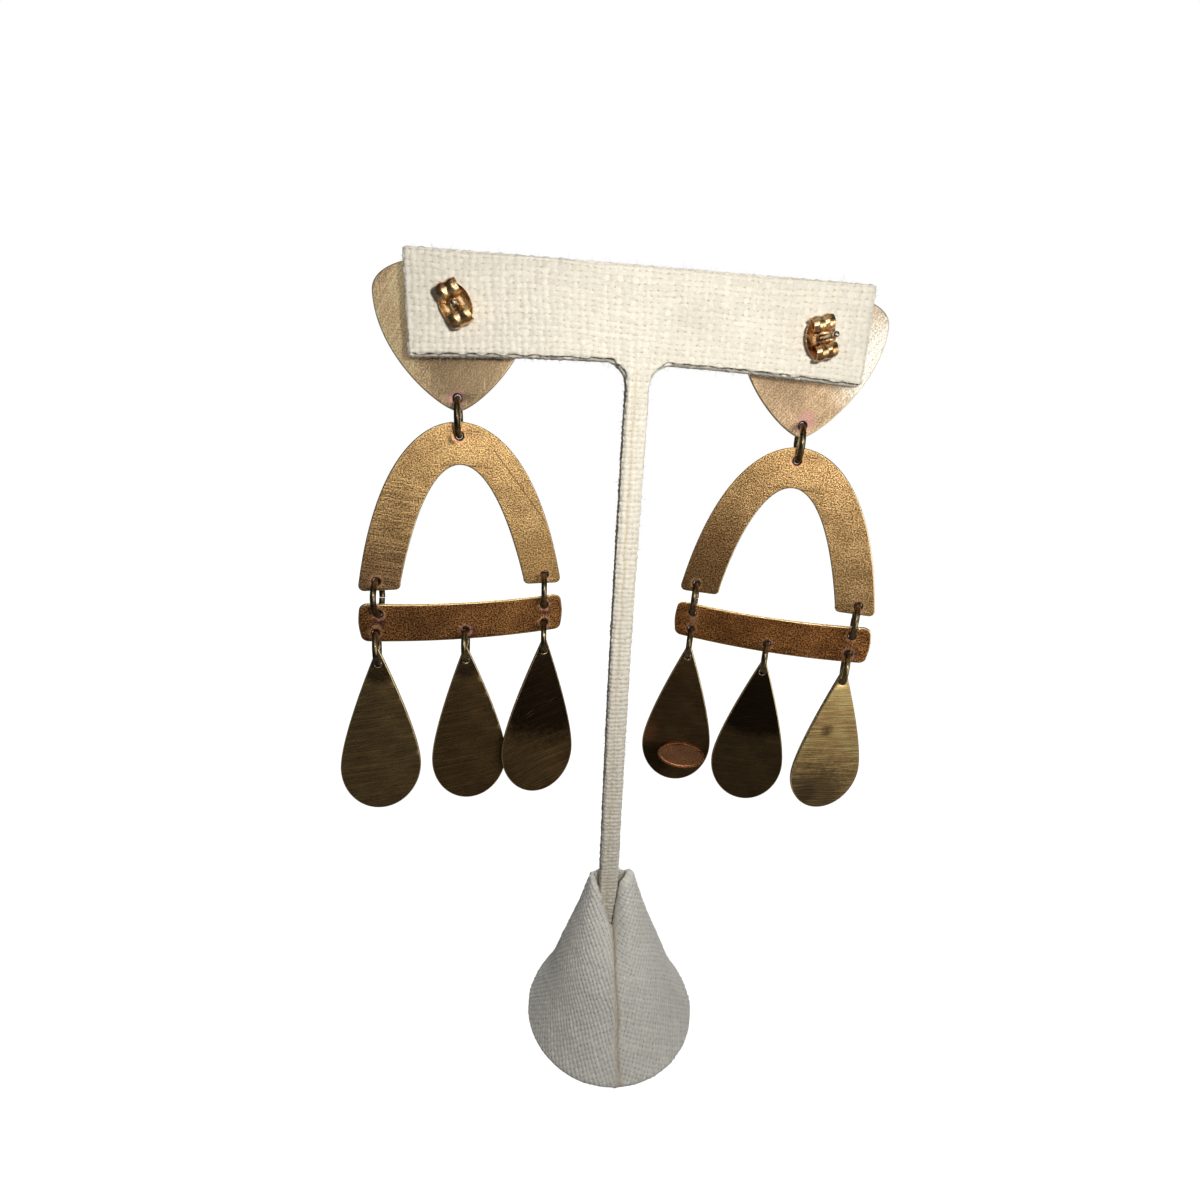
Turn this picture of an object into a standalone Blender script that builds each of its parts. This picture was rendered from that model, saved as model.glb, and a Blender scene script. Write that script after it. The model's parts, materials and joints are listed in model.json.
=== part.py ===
"""A pair of chandelier earrings hanging on a T-bar display stand, seen from the back of the pair at -Y.

World frame: +X to the right, +Z up, the crossbar's middle plane is Y = 0, and the origin is the centre
of the base's underside.
"""

import math

import bmesh
import bpy
from mathutils import Matrix, Vector

MM = 0.001

# Fits
PIECE_GAP = 0.3 * MM

# Display stand
STAND_HEIGHT = 131.6 * MM
CROSSBAR_LENGTH = 63.6 * MM
CROSSBAR_HEIGHT = 13.4 * MM
CROSSBAR_WAIST = 1.2 * MM
CROSSBAR_TILT = math.radians(-1.6)
CROSSBAR_CORNER_RADIUS = 0.9 * MM
PANEL_THICKNESS = 4.0 * MM
PANEL_EDGE_RADIUS = 0.8 * MM
STEM_WIDTH = 3.0 * MM
STEM_BOW = -0.4 * MM
STEM_FOOT_OFFSET = -0.9 * MM
JUNCTION_FILLET = 3.0 * MM
BASE_RADIUS = 16.6 * MM
BASE_HOLLOW = 1.0 * MM
BASE_CONE_HEIGHT = 39.4 * MM
BASE_HEIGHT = 31.2 * MM
BASE_EDGE_RADIUS = 0.9 * MM
SOCKET_DEPTH = 19.0 * MM
NOTCH_DEPTH = 4.3 * MM
NOTCH_WIDTH = 3.8 * MM

# Earrings, sheet metal and wire
EARRING_SPREAD = 51.2 * MM
SHEET_THICKNESS = 0.7 * MM
LINK_HOLE_DIAMETER = 1.8 * MM
RING_MEAN_DIAMETER = 4.9 * MM
RING_WIRE_DIAMETER = 0.9 * MM

# Top plate with its post. Shares of its height and half width: where it is widest, and how far the
# outline's handles reach.
TOP_PLATE_WIDTH = 22.0 * MM
TOP_PLATE_HEIGHT = 20.0 * MM
TOP_PLATE_HOLE_MARGIN = 1.8 * MM
TOP_PLATE_SHOULDER = 0.78
TOP_PLATE_FLANK = 0.4
TOP_PLATE_CROWN = 0.16
TOP_PLATE_TIP = 0.2
TOP_PLATE_TOP = 0.55
POST_TO_HOLE = 11.6 * MM
POST_DIAMETER = 0.8 * MM
POST_TIP_BEVEL = 0.24 * MM
POST_BEHIND_PANEL = 6.8 * MM

# Butterfly clutch, a strip rolled into two scrolls
CLUTCH_STRIP_WIDTH = 3.5 * MM
CLUTCH_STRIP_THICKNESS = 0.3 * MM
SCROLL_RADIUS = 0.95 * MM
SCROLL_TURN = 300.0

# Arch
ARCH_WIDTH = 31.5 * MM
ARCH_HEIGHT = 25.1 * MM
ARCH_BAND_TOP = 6.2 * MM
ARCH_BAND_FOOT = 6.05 * MM
ARCH_TOP_HOLE_MARGIN = 2.0 * MM
ARCH_FOOT_HOLE_MARGIN = 1.5 * MM
ARCH_CORNER_RADIUS = 1.0 * MM
ARCH_OUTER_FULLNESS = 1.0
ARCH_INNER_FULLNESS = 0.3

# Bar
BAR_LENGTH = 32.1 * MM
BAR_HEIGHT = 6.15 * MM
BAR_SAG = 0.8 * MM
BAR_HOLE_MARGIN = 1.55 * MM
BAR_CORNER_RADIUS = 1.2 * MM
BAR_END_BULGE = 0.35 * MM
HANGER_SPREAD = 25.9 * MM

# Teardrops. Shares of their length, from the top: where the outline's handles and the widest place lie.
DROP_LENGTH = 28.6 * MM
DROP_WIDTH = 12.5 * MM
DROP_HOLE_MARGIN = 2.8 * MM
DROP_NECK = 0.19
DROP_NECK_SPREAD = 0.35
DROP_FLANK = 0.57
DROP_WIDEST = 0.73
PLAQUE_LENGTH = 8.8 * MM
PLAQUE_HEIGHT = 5.3 * MM
PLAQUE_THICKNESS = 0.5 * MM
PLAQUE_ABOVE_END = 5.3 * MM
PLAQUE_OFFSET = 0.7 * MM

# How each earring hangs. Shares: "place" of half the spread, "post_shift" beside the plate's centre line
# of the plate's width, "post_level" above the crossbar's middle line of its height, "post_reach" of the
# post's length behind the cloth, "clutch_slide" of that length between cloth and clutch, and
# "outer_hole_shift" of the outer lower hole of the hangers' spread. Degrees: the sheets' "turn" about
# the vertical, their "tilt" in their own plane, and the clutch's roll.
EARRINGS = {
    "left": {
        "place": -1.012, "post_shift": 0.045, "post_level": 0.0, "post_reach": 0.45,
        "clutch_slide": 0.0, "outer_hole_shift": -0.025, "turn": 13.0, "tilt": -0.3, "clutch_roll": 64.0,
    },
    "right": {
        "place": 0.99, "post_shift": -0.064, "post_level": -0.06, "post_reach": 1.0,
        "clutch_slide": 0.12, "outer_hole_shift": 0.0, "turn": -19.0, "tilt": -2.0, "clutch_roll": 75.0,
    },
}

# How each teardrop hangs, in degrees: lean to the right, swing towards the back, and turn about its axis.
DROP_POSES = {
    "left": (
        {"lean": -2.4, "swing": 2.5, "twist": 0.0},
        {"lean": -0.2, "swing": 2.0, "twist": 0.0},
        {"lean": -4.8, "swing": 6.5, "twist": 0.0},
    ),
    "right": (
        {"lean": -3.0, "swing": -1.5, "twist": 8.0},
        {"lean": -2.6, "swing": 0.0, "twist": 5.0},
        {"lean": -0.7, "swing": -3.5, "twist": 22.0},
    ),
}

# A circle's quarter drawn by one curve segment takes handles of this share of its radius.
CIRCLE_HANDLE = 0.552

# Facets
RING_SIDES = 16
WIRE_SIDES = 6
HOLE_SIDES = 16
POST_SIDES = 10
BORE_SIDES = 12
PLAQUE_SIDES = 24
ARCH_STEPS = 28
BAR_STEPS = 12
STEM_STEPS = 8
UNDERSIDE_STEPS = 6
CORNER_STEPS = 4
BEZIER_STEPS = 11
SCROLL_STEPS = 12
CONE_SIDES = 40
CONE_STEPS = 6
SMOOTH_ANGLE = math.radians(35.0)
WELD_DISTANCE = 0.001 * MM

# Derived places
CROSSBAR_CENTRE_Z = STAND_HEIGHT - CROSSBAR_HEIGHT / 2
STEM_BOTTOM_Z = BASE_HEIGHT - SOCKET_DEPTH + PIECE_GAP
CLOTH_Y = -PANEL_THICKNESS / 2
SHEET_Y = PANEL_THICKNESS / 2 + PIECE_GAP + SHEET_THICKNESS / 2
HOLE_RADIUS = LINK_HOLE_DIAMETER / 2
WIRE_RADIUS = RING_WIRE_DIAMETER / 2
LINK_SEAT = HOLE_RADIUS - WIRE_RADIUS - PIECE_GAP
LINK_REACH = RING_MEAN_DIAMETER / 2 + LINK_SEAT


def clear_scene():
    """Empty the file's scene."""
    for old in list(bpy.data.objects):
        bpy.data.objects.remove(old, do_unlink=True)


def collection(name):
    """Make a collection under the scene's own."""
    made = bpy.data.collections.new(name)
    bpy.context.scene.collection.children.link(made)
    return made


def material(name, colour, roughness, metallic):
    """Make a plain material with a Principled BSDF."""
    made = bpy.data.materials.new(name)
    made.use_nodes = True
    shader = made.node_tree.nodes["Principled BSDF"]
    shader.inputs["Base Color"].default_value = (*colour, 1.0)
    shader.inputs["Roughness"].default_value = roughness
    shader.inputs["Metallic"].default_value = metallic
    return made


def finish_mesh(obj, finish):
    """Give a mesh object its material and smooth its round faces."""
    obj.data.materials.clear()
    obj.data.materials.append(finish)
    obj.data.shade_smooth()
    obj.data.set_sharp_from_angle(angle=SMOOTH_ANGLE)


def add_object(name, mesh, group, parent=None):
    """Put a mesh in the scene as an object of its own."""
    made = bpy.data.objects.new(name, mesh)
    group.objects.link(made)
    made.parent = parent
    return made


def empty(name, group, location, rotation=None, parent=None):
    """Add an empty that marks a pivot or a hanging point."""
    made = bpy.data.objects.new(name, None)
    made.empty_display_size = 3.0 * MM
    made.parent = parent
    made.location = location
    if rotation is not None:
        made.rotation_euler = rotation.to_euler()
    group.objects.link(made)
    return made


def circle(centre, radius, sides):
    """Points of a round hole or disc in the sheet's plane."""
    steps = (2 * math.pi * i / sides for i in range(sides))
    return [(centre[0] + radius * math.cos(a), centre[1] + radius * math.sin(a)) for a in steps]


def arc(centre, radius, start, end, steps=CORNER_STEPS):
    """Points along an arc, angles in degrees."""
    points = []
    for i in range(steps + 1):
        angle = math.radians(start + (end - start) * i / steps)
        points.append((centre[0] + radius * math.cos(angle), centre[1] + radius * math.sin(angle)))
    return points


def sheet_mesh(name, outline, holes, thickness, edge_radius=0.0):
    """Flat sheet in the XZ plane: a filled 2D curve with round holes, extruded by half its thickness."""
    curve = bpy.data.curves.new(name, "CURVE")
    curve.dimensions = "2D"
    curve.fill_mode = "BOTH"
    curve.extrude = thickness / 2 - edge_radius
    curve.bevel_depth = edge_radius
    curve.bevel_resolution = 1
    curve.offset = -edge_radius
    curve.resolution_u = BEZIER_STEPS
    if callable(outline):
        outline(curve)
    else:
        add_poly(curve, outline)
    for centre in holes:
        add_poly(curve, circle(centre, HOLE_RADIUS, HOLE_SIDES))
    carrier = bpy.data.objects.new(name, curve)
    bpy.context.scene.collection.objects.link(carrier)
    mesh = bpy.data.meshes.new_from_object(carrier.evaluated_get(bpy.context.evaluated_depsgraph_get()))
    bpy.data.objects.remove(carrier, do_unlink=True)
    upright = Matrix.Rotation(math.radians(90.0), 4, "X")
    mesh.transform(upright)
    weld(mesh)
    return mesh


def add_poly(curve, points):
    """Add one closed straight-sided spline."""
    spline = curve.splines.new("POLY")
    spline.points.add(len(points) - 1)
    for place, (x, z) in zip(spline.points, points):
        place.co = (x, z, 0.0, 1.0)
    spline.use_cyclic_u = True


def add_bezier(curve, knots):
    """Add one closed Bezier spline from (point, handle before, handle after) knots."""
    spline = curve.splines.new("BEZIER")
    spline.bezier_points.add(len(knots) - 1)
    for place, (point, before, after) in zip(spline.bezier_points, knots):
        place.handle_left_type = "FREE"
        place.handle_right_type = "FREE"
        place.co = (*point, 0.0)
        place.handle_left = (*before, 0.0)
        place.handle_right = (*after, 0.0)
    spline.use_cyclic_u = True


def weld(mesh):
    """Join the loose caps of a converted curve and point its faces outwards."""
    shape = bmesh.new()
    shape.from_mesh(mesh)
    bmesh.ops.remove_doubles(shape, verts=shape.verts, dist=WELD_DISTANCE)
    bmesh.ops.recalc_face_normals(shape, faces=shape.faces)
    shape.to_mesh(mesh)
    shape.free()


def apply_boolean(target, tool, operation):
    """Join or cut one solid by another and drop the tool."""
    step = target.modifiers.new(operation.title(), "BOOLEAN")
    step.operation = operation
    step.solver = "EXACT"
    step.object = tool
    bpy.context.view_layer.update()
    mesh = bpy.data.meshes.new_from_object(target.evaluated_get(bpy.context.evaluated_depsgraph_get()))
    target.modifiers.remove(step)
    target.data = mesh
    bpy.data.objects.remove(tool, do_unlink=True)


def cutter(name, mesh, group, matrix):
    """Place a shape that only cuts or joins."""
    made = add_object(name, mesh, group)
    made.matrix_world = matrix
    made.hide_render = True
    made.display_type = "WIRE"
    return made


def cylinder_mesh(name, radius, length, sides, bevel=0.0):
    """Closed cylinder along Z, centred on its middle."""
    shape = bmesh.new()
    bmesh.ops.create_cone(shape, cap_ends=True, segments=sides, radius1=radius, radius2=radius, depth=length)
    if bevel:
        end = [e for e in shape.edges if all(v.co.z > 0 for v in e.verts)]
        bmesh.ops.bevel(shape, geom=end, offset=bevel, segments=1, affect="EDGES")
    mesh = bpy.data.meshes.new(name)
    shape.to_mesh(mesh)
    shape.free()
    return mesh


def ring_mesh(name):
    """Round jump ring standing in the YZ plane, so that it threads two hanging sheets."""
    shape = bmesh.new()
    loops = []
    for i in range(RING_SIDES):
        around = 2 * math.pi * i / RING_SIDES
        spoke = Vector((0.0, math.sin(around), math.cos(around)))
        loop = []
        for j in range(WIRE_SIDES):
            turn = 2 * math.pi * j / WIRE_SIDES
            reach = RING_MEAN_DIAMETER / 2 + WIRE_RADIUS * math.cos(turn)
            loop.append(shape.verts.new(spoke * reach + Vector((WIRE_RADIUS * math.sin(turn), 0.0, 0.0))))
        loops.append(loop)
    for i in range(RING_SIDES):
        here, following = loops[i], loops[(i + 1) % RING_SIDES]
        for j in range(WIRE_SIDES):
            k = (j + 1) % WIRE_SIDES
            shape.faces.new((here[j], here[k], following[k], following[j]))
    bmesh.ops.recalc_face_normals(shape, faces=shape.faces)
    mesh = bpy.data.meshes.new(name)
    shape.to_mesh(mesh)
    shape.free()
    return mesh


def stem_middle(height):
    """Sideways place of the stem's middle line, which leans and bows a little."""
    share = (height - STEM_BOTTOM_Z) / (CROSSBAR_CENTRE_Z - STEM_BOTTOM_Z)
    return STEM_FOOT_OFFSET * (1.0 - share) + STEM_BOW * math.sin(math.pi * share)


def crossbar_underside(x):
    """Height of the crossbar's lower edge, which rises towards the stem."""
    rise = CROSSBAR_WAIST * (1.0 - (2.0 * x / CROSSBAR_LENGTH) ** 2)
    return CROSSBAR_CENTRE_Z + math.tan(CROSSBAR_TILT) * x - CROSSBAR_HEIGHT / 2 + rise


def tbar_outline():
    """Outline of crossbar and stem in one board, counter-clockwise from the stem's right foot."""
    half_stem = STEM_WIDTH / 2
    reach = half_stem + JUNCTION_FILLET
    top = crossbar_underside(0.0) - JUNCTION_FILLET
    turn = Matrix.Rotation(CROSSBAR_TILT, 2)
    corners = []
    for x, z, start in ((1, -1, -90.0), (1, 1, 0.0), (-1, 1, 90.0), (-1, -1, 180.0)):
        centre_x = x * (CROSSBAR_LENGTH / 2 - CROSSBAR_CORNER_RADIUS)
        centre_z = z * (CROSSBAR_HEIGHT / 2 - CROSSBAR_CORNER_RADIUS)
        for point in arc((centre_x, centre_z), CROSSBAR_CORNER_RADIUS, start, start + 90.0, 2):
            place = turn @ Vector(point)
            corners.append((place.x, place.y + CROSSBAR_CENTRE_Z))
    heights = [STEM_BOTTOM_Z + (top - STEM_BOTTOM_Z) * i / STEM_STEPS for i in range(STEM_STEPS + 1)]
    right_side = [(stem_middle(z) + half_stem, z) for z in heights]
    left_side = [(stem_middle(z) - half_stem, z) for z in reversed(heights)]
    sides = []
    for side, start, end in ((1.0, 180.0, 90.0), (-1.0, 0.0, 90.0)):
        centre = stem_middle(top) + side * reach
        place = (centre, crossbar_underside(centre) - JUNCTION_FILLET)
        run = side * (CROSSBAR_LENGTH / 2 - CROSSBAR_CORNER_RADIUS) - centre
        steps = [centre + run * i / UNDERSIDE_STEPS for i in range(1, UNDERSIDE_STEPS)]
        sides.append(arc(place, JUNCTION_FILLET, start, end)[1:] + [(x, crossbar_underside(x)) for x in steps])
    right_underside, left_underside = sides
    left_underside.reverse()
    return right_side[:-1] + right_underside + corners + left_underside + left_side[1:]


def make_tbar(group, finish):
    """Crossbar and stem: one board wrapped in cloth, with soft long edges."""
    mesh = sheet_mesh("stand_tbar", tbar_outline(), (), PANEL_THICKNESS, PANEL_EDGE_RADIUS)
    obj = add_object("stand_tbar", mesh, group)
    finish_mesh(obj, finish)
    return obj


def base_radius(height):
    """Radius of the base at a height: a cone whose side is slightly hollow."""
    share = height / BASE_HEIGHT
    return BASE_RADIUS * (1.0 - height / BASE_CONE_HEIGHT) - 4.0 * BASE_HOLLOW * share * (1.0 - share)


def make_base(group, cutters, finish):
    """Weighted cone with a round socket for the stem and a V-notch in the wrap at the back."""
    lip = BASE_EDGE_RADIUS
    heights = [BASE_HEIGHT + (lip - BASE_HEIGHT) * i / CONE_STEPS for i in range(CONE_STEPS)]
    side = [(base_radius(height), height) for height in heights]
    corner = arc((base_radius(lip) - lip, lip), lip, 0.0, -90.0)
    profile = [(0.0, BASE_HEIGHT)] + side + corner + [(0.0, 0.0)]
    shape = bmesh.new()
    points = [shape.verts.new((x, 0.0, z)) for x, z in profile]
    for first, second in zip(points, points[1:]):
        shape.edges.new((first, second))
    mesh = bpy.data.meshes.new("stand_base")
    shape.to_mesh(mesh)
    shape.free()
    obj = add_object("stand_base", mesh, group)
    turned = obj.modifiers.new("Turned", "SCREW")
    turned.steps = CONE_SIDES
    turned.render_steps = CONE_SIDES
    turned.use_merge_vertices = True
    turned.merge_threshold = WELD_DISTANCE
    bpy.context.view_layer.update()
    solid = bpy.data.meshes.new_from_object(obj.evaluated_get(bpy.context.evaluated_depsgraph_get()))
    obj.modifiers.clear()
    obj.data = solid
    for vertex in solid.vertices:
        vertex.co.x += STEM_FOOT_OFFSET * (vertex.co.z / BASE_HEIGHT) ** 2
    stem_reach = math.hypot(STEM_WIDTH / 2 - PANEL_EDGE_RADIUS, PANEL_THICKNESS / 2 - PANEL_EDGE_RADIUS)
    bore = stem_reach + PANEL_EDGE_RADIUS + abs(STEM_BOW) + PIECE_GAP
    socket = cylinder_mesh("socket_cut", bore, 2 * SOCKET_DEPTH, CONE_SIDES)
    place = Matrix.Translation((STEM_FOOT_OFFSET, 0.0, BASE_HEIGHT))
    apply_boolean(obj, cutter("socket_cut", socket, cutters, place), "DIFFERENCE")
    wedge = bmesh.new()
    for y in (0.0, -BASE_RADIUS):
        for x, z in ((0.0, -NOTCH_DEPTH), (NOTCH_WIDTH, NOTCH_DEPTH), (-NOTCH_WIDTH, NOTCH_DEPTH)):
            wedge.verts.new((x, y, z))
    bmesh.ops.convex_hull(wedge, input=wedge.verts)
    bmesh.ops.recalc_face_normals(wedge, faces=wedge.faces)
    notch = bpy.data.meshes.new("notch_cut")
    wedge.to_mesh(notch)
    wedge.free()
    apply_boolean(obj, cutter("notch_cut", notch, cutters, place), "DIFFERENCE")
    finish_mesh(obj, finish)
    return obj


def top_plate_outline(curve):
    """Rounded triangle with its point down; the link hole is at the origin."""
    half = TOP_PLATE_WIDTH / 2
    low = -TOP_PLATE_HOLE_MARGIN
    high = low + TOP_PLATE_HEIGHT
    shoulder = low + TOP_PLATE_SHOULDER * TOP_PLATE_HEIGHT
    tip_handle = TOP_PLATE_TIP * half
    top_handle = TOP_PLATE_TOP * half
    below = shoulder - TOP_PLATE_FLANK * TOP_PLATE_HEIGHT
    above = shoulder + TOP_PLATE_CROWN * TOP_PLATE_HEIGHT
    add_bezier(curve, [
        ((0.0, low), (-tip_handle, low), (tip_handle, low)),
        ((half, shoulder), (half, below), (half, above)),
        ((0.0, high), (top_handle, high), (-top_handle, high)),
        ((-half, shoulder), (-half, above), (-half, below)),
    ])


def make_top_plate(name, group, cutters, finish, hole_place, post_shift, post_reach):
    """Top plate with the ear post soldered to its back and passing through the crossbar."""
    mesh = sheet_mesh(name, top_plate_outline, [(0.0, 0.0)], SHEET_THICKNESS)
    obj = add_object(name, mesh, group)
    obj.location = hole_place
    bpy.context.view_layer.update()
    length = SHEET_Y - CLOTH_Y + post_reach
    post = cylinder_mesh("post", POST_DIAMETER / 2, length, POST_SIDES, bevel=POST_TIP_BEVEL)
    place = Matrix.Translation(hole_place + Vector((post_shift, -length / 2, POST_TO_HOLE)))
    turn = Matrix.Rotation(math.radians(90.0), 4, "X")
    apply_boolean(obj, cutter("post", post, cutters, place @ turn), "UNION")
    finish_mesh(obj, finish)
    return obj


def clutch_mesh(name):
    """Strip with both ends rolled inwards, drawn as a thick line and extruded along the scrolls."""
    half_strip = CLUTCH_STRIP_THICKNESS / 2
    inner = POST_DIAMETER / 2 + PIECE_GAP + half_strip
    centre_u = inner + SCROLL_RADIUS
    line = [(0.0, 0.0)]
    for i in range(SCROLL_STEPS + 1):
        angle = math.radians(-90.0 + SCROLL_TURN * i / SCROLL_STEPS)
        line.append((centre_u + SCROLL_RADIUS * math.cos(angle), SCROLL_RADIUS * (1.0 + math.sin(angle))))
    left = [(-u, v) for u, v in reversed(line[1:])]
    line = left + line
    outline = []
    back = []
    for i, here in enumerate(line):
        before = line[max(i - 1, 0)]
        after = line[min(i + 1, len(line) - 1)]
        along = Vector((after[0] - before[0], after[1] - before[1])).normalized()
        side = Vector((along.y, -along.x)) * half_strip
        outline.append((here[0] + side.x, here[1] + side.y))
        back.append((here[0] - side.x, here[1] - side.y))
    back.reverse()
    mesh = sheet_mesh(name, outline + back, (), CLUTCH_STRIP_WIDTH)
    mesh.transform(Matrix.Rotation(math.radians(90.0), 4, "X"))
    return mesh


def make_clutch(name, group, cutters, finish, post_place, roll):
    """Butterfly clutch pushed on the post, its flat side towards the cloth."""
    obj = add_object(name, clutch_mesh(name), group)
    place = Matrix.Translation(post_place) @ Matrix.Rotation(roll, 4, "Y")
    obj.matrix_world = place
    bpy.context.view_layer.update()
    bore = cylinder_mesh("clutch_bore", POST_DIAMETER / 2 + PIECE_GAP, 4 * SCROLL_RADIUS, BORE_SIDES)
    along = Matrix.Translation(post_place) @ Matrix.Rotation(math.radians(90.0), 4, "X")
    apply_boolean(obj, cutter("clutch_bore", bore, cutters, along), "DIFFERENCE")
    finish_mesh(obj, finish)
    return obj


def arch_side(width, height, top, fullness, end_margin):
    """Points of one curve of the arch, a parabola with fuller shoulders, from left over the top to right."""
    spread = 1.0 - math.exp(-fullness)
    limit = math.sqrt((1.0 - math.exp(-fullness * (1.0 - end_margin / height))) / spread)
    points = []
    for i in range(ARCH_STEPS + 1):
        share = limit * (2.0 * i / ARCH_STEPS - 1.0)
        drop = -height * math.log(1.0 - spread * share ** 2) / fullness
        points.append((width / 2 * share, top - drop))
    return points


def foot_corner(end, before, foot, inward):
    """Rounded corner between a leg's side, which ends at a point, and the foot's level edge."""
    lean = (end[0] - before[0]) / (before[1] - end[1])
    corner_x = end[0] + lean * (end[1] - foot)
    radius = ARCH_CORNER_RADIUS
    middle = 1.0 - math.sqrt(0.5)
    near = (corner_x + inward * radius * middle, foot + radius * middle)
    return [near, (corner_x + inward * radius, foot)]


def arch_outline():
    """Tall arch with a band of even width and two rounded feet; the top hole is at the origin."""
    top = ARCH_TOP_HOLE_MARGIN
    foot = top - ARCH_HEIGHT
    inner_width = ARCH_WIDTH - 2 * ARCH_BAND_FOOT
    radius = ARCH_CORNER_RADIUS
    outer = arch_side(ARCH_WIDTH, ARCH_HEIGHT, top, ARCH_OUTER_FULLNESS, radius)
    inner_height = ARCH_HEIGHT - ARCH_BAND_TOP
    inner = arch_side(inner_width, inner_height, top - ARCH_BAND_TOP, ARCH_INNER_FULLNESS, radius)
    right_foot = foot_corner(outer[-1], outer[-2], foot, -1.0)
    right_foot += reversed(foot_corner(inner[-1], inner[-2], foot, 1.0))
    left_foot = foot_corner(inner[0], inner[1], foot, -1.0)
    left_foot += reversed(foot_corner(outer[0], outer[1], foot, 1.0))
    inner.reverse()
    return outer + right_foot + inner + left_foot


def arch_foot_hole_z():
    """Height of the arch's foot holes below its top hole."""
    return ARCH_TOP_HOLE_MARGIN - ARCH_HEIGHT + ARCH_FOOT_HOLE_MARGIN


def bar_middle(x):
    """Height of the bar's middle line, which sags between its ends."""
    return -BAR_SAG * (1.0 - (2.0 * x / BAR_LENGTH) ** 2)


def bar_hole_heights():
    """Heights of the bar's upper holes, lower outer holes and lower centre hole on its own middle line."""
    reach = BAR_HEIGHT / 2 - BAR_HOLE_MARGIN
    side = bar_middle(HANGER_SPREAD / 2)
    return side + reach, side - reach, bar_middle(0.0) - reach


def bar_outline():
    """Slightly smiling bar with bulging ends and rounded corners; its upper holes lie on Z = 0."""
    half = BAR_LENGTH / 2 - BAR_END_BULGE
    radius = BAR_CORNER_RADIUS
    straight = half - radius
    upper, _, _ = bar_hole_heights()
    xs = [straight * (2.0 * i / BAR_STEPS - 1.0) for i in range(BAR_STEPS + 1)]
    over = [(x, bar_middle(x) + BAR_HEIGHT / 2 - upper) for x in xs]
    under = [(x, bar_middle(x) - BAR_HEIGHT / 2 - upper) for x in reversed(xs)]
    high = over[0][1] - radius
    low = under[0][1] + radius
    middle = (high + low) / 2
    right = arc((straight, high), radius, 90.0, 0.0)[1:] + [(half + BAR_END_BULGE, middle)]
    right += arc((straight, low), radius, 0.0, -90.0)[:-1]
    left = arc((-straight, low), radius, -90.0, -180.0)[1:] + [(-half - BAR_END_BULGE, middle)]
    left += arc((-straight, high), radius, 180.0, 90.0)[:-1]
    return over + right + under + left


def drop_outline(curve):
    """Teardrop with a pointed top; its link hole is at the origin."""
    half = DROP_WIDTH / 2
    top = DROP_HOLE_MARGIN
    widest = top - DROP_WIDEST * DROP_LENGTH
    end = top - DROP_LENGTH
    side = (DROP_NECK_SPREAD * half, top - DROP_NECK * DROP_LENGTH)
    flank = top - DROP_FLANK * DROP_LENGTH
    belly = widest - CIRCLE_HANDLE * (widest - end)
    round_end = CIRCLE_HANDLE * half
    add_bezier(curve, [
        ((0.0, top), (-side[0], side[1]), side),
        ((half, widest), (half, flank), (half, belly)),
        ((0.0, end), (round_end, end), (-round_end, end)),
        ((-half, widest), (-half, belly), (-half, flank)),
    ])


def plaque_mesh():
    """Bare oval plaque that is soldered to the back of one teardrop."""
    mesh = cylinder_mesh("plaque", 0.5, 1.0, PLAQUE_SIDES)
    stretch = Matrix.Diagonal((PLAQUE_LENGTH, PLAQUE_HEIGHT, PLAQUE_THICKNESS + SHEET_THICKNESS / 2, 1.0))
    mesh.transform(Matrix.Rotation(math.radians(90.0), 4, "X") @ stretch)
    return mesh


def hang_sheet(name, group, finish, mesh, parent, location, rotation=None):
    """Hang a sheet by its link hole."""
    obj = add_object(name, mesh, group, parent)
    obj.location = location
    if rotation is not None:
        obj.rotation_euler = rotation.to_euler()
    finish_mesh(obj, finish)
    return obj


def post_point(facts):
    """Where an ear post crosses the crossbar."""
    x = facts["place"] * EARRING_SPREAD / 2 + facts["post_shift"] * TOP_PLATE_WIDTH
    z = CROSSBAR_CENTRE_Z + math.tan(CROSSBAR_TILT) * x + facts["post_level"] * CROSSBAR_HEIGHT
    return x, z


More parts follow.
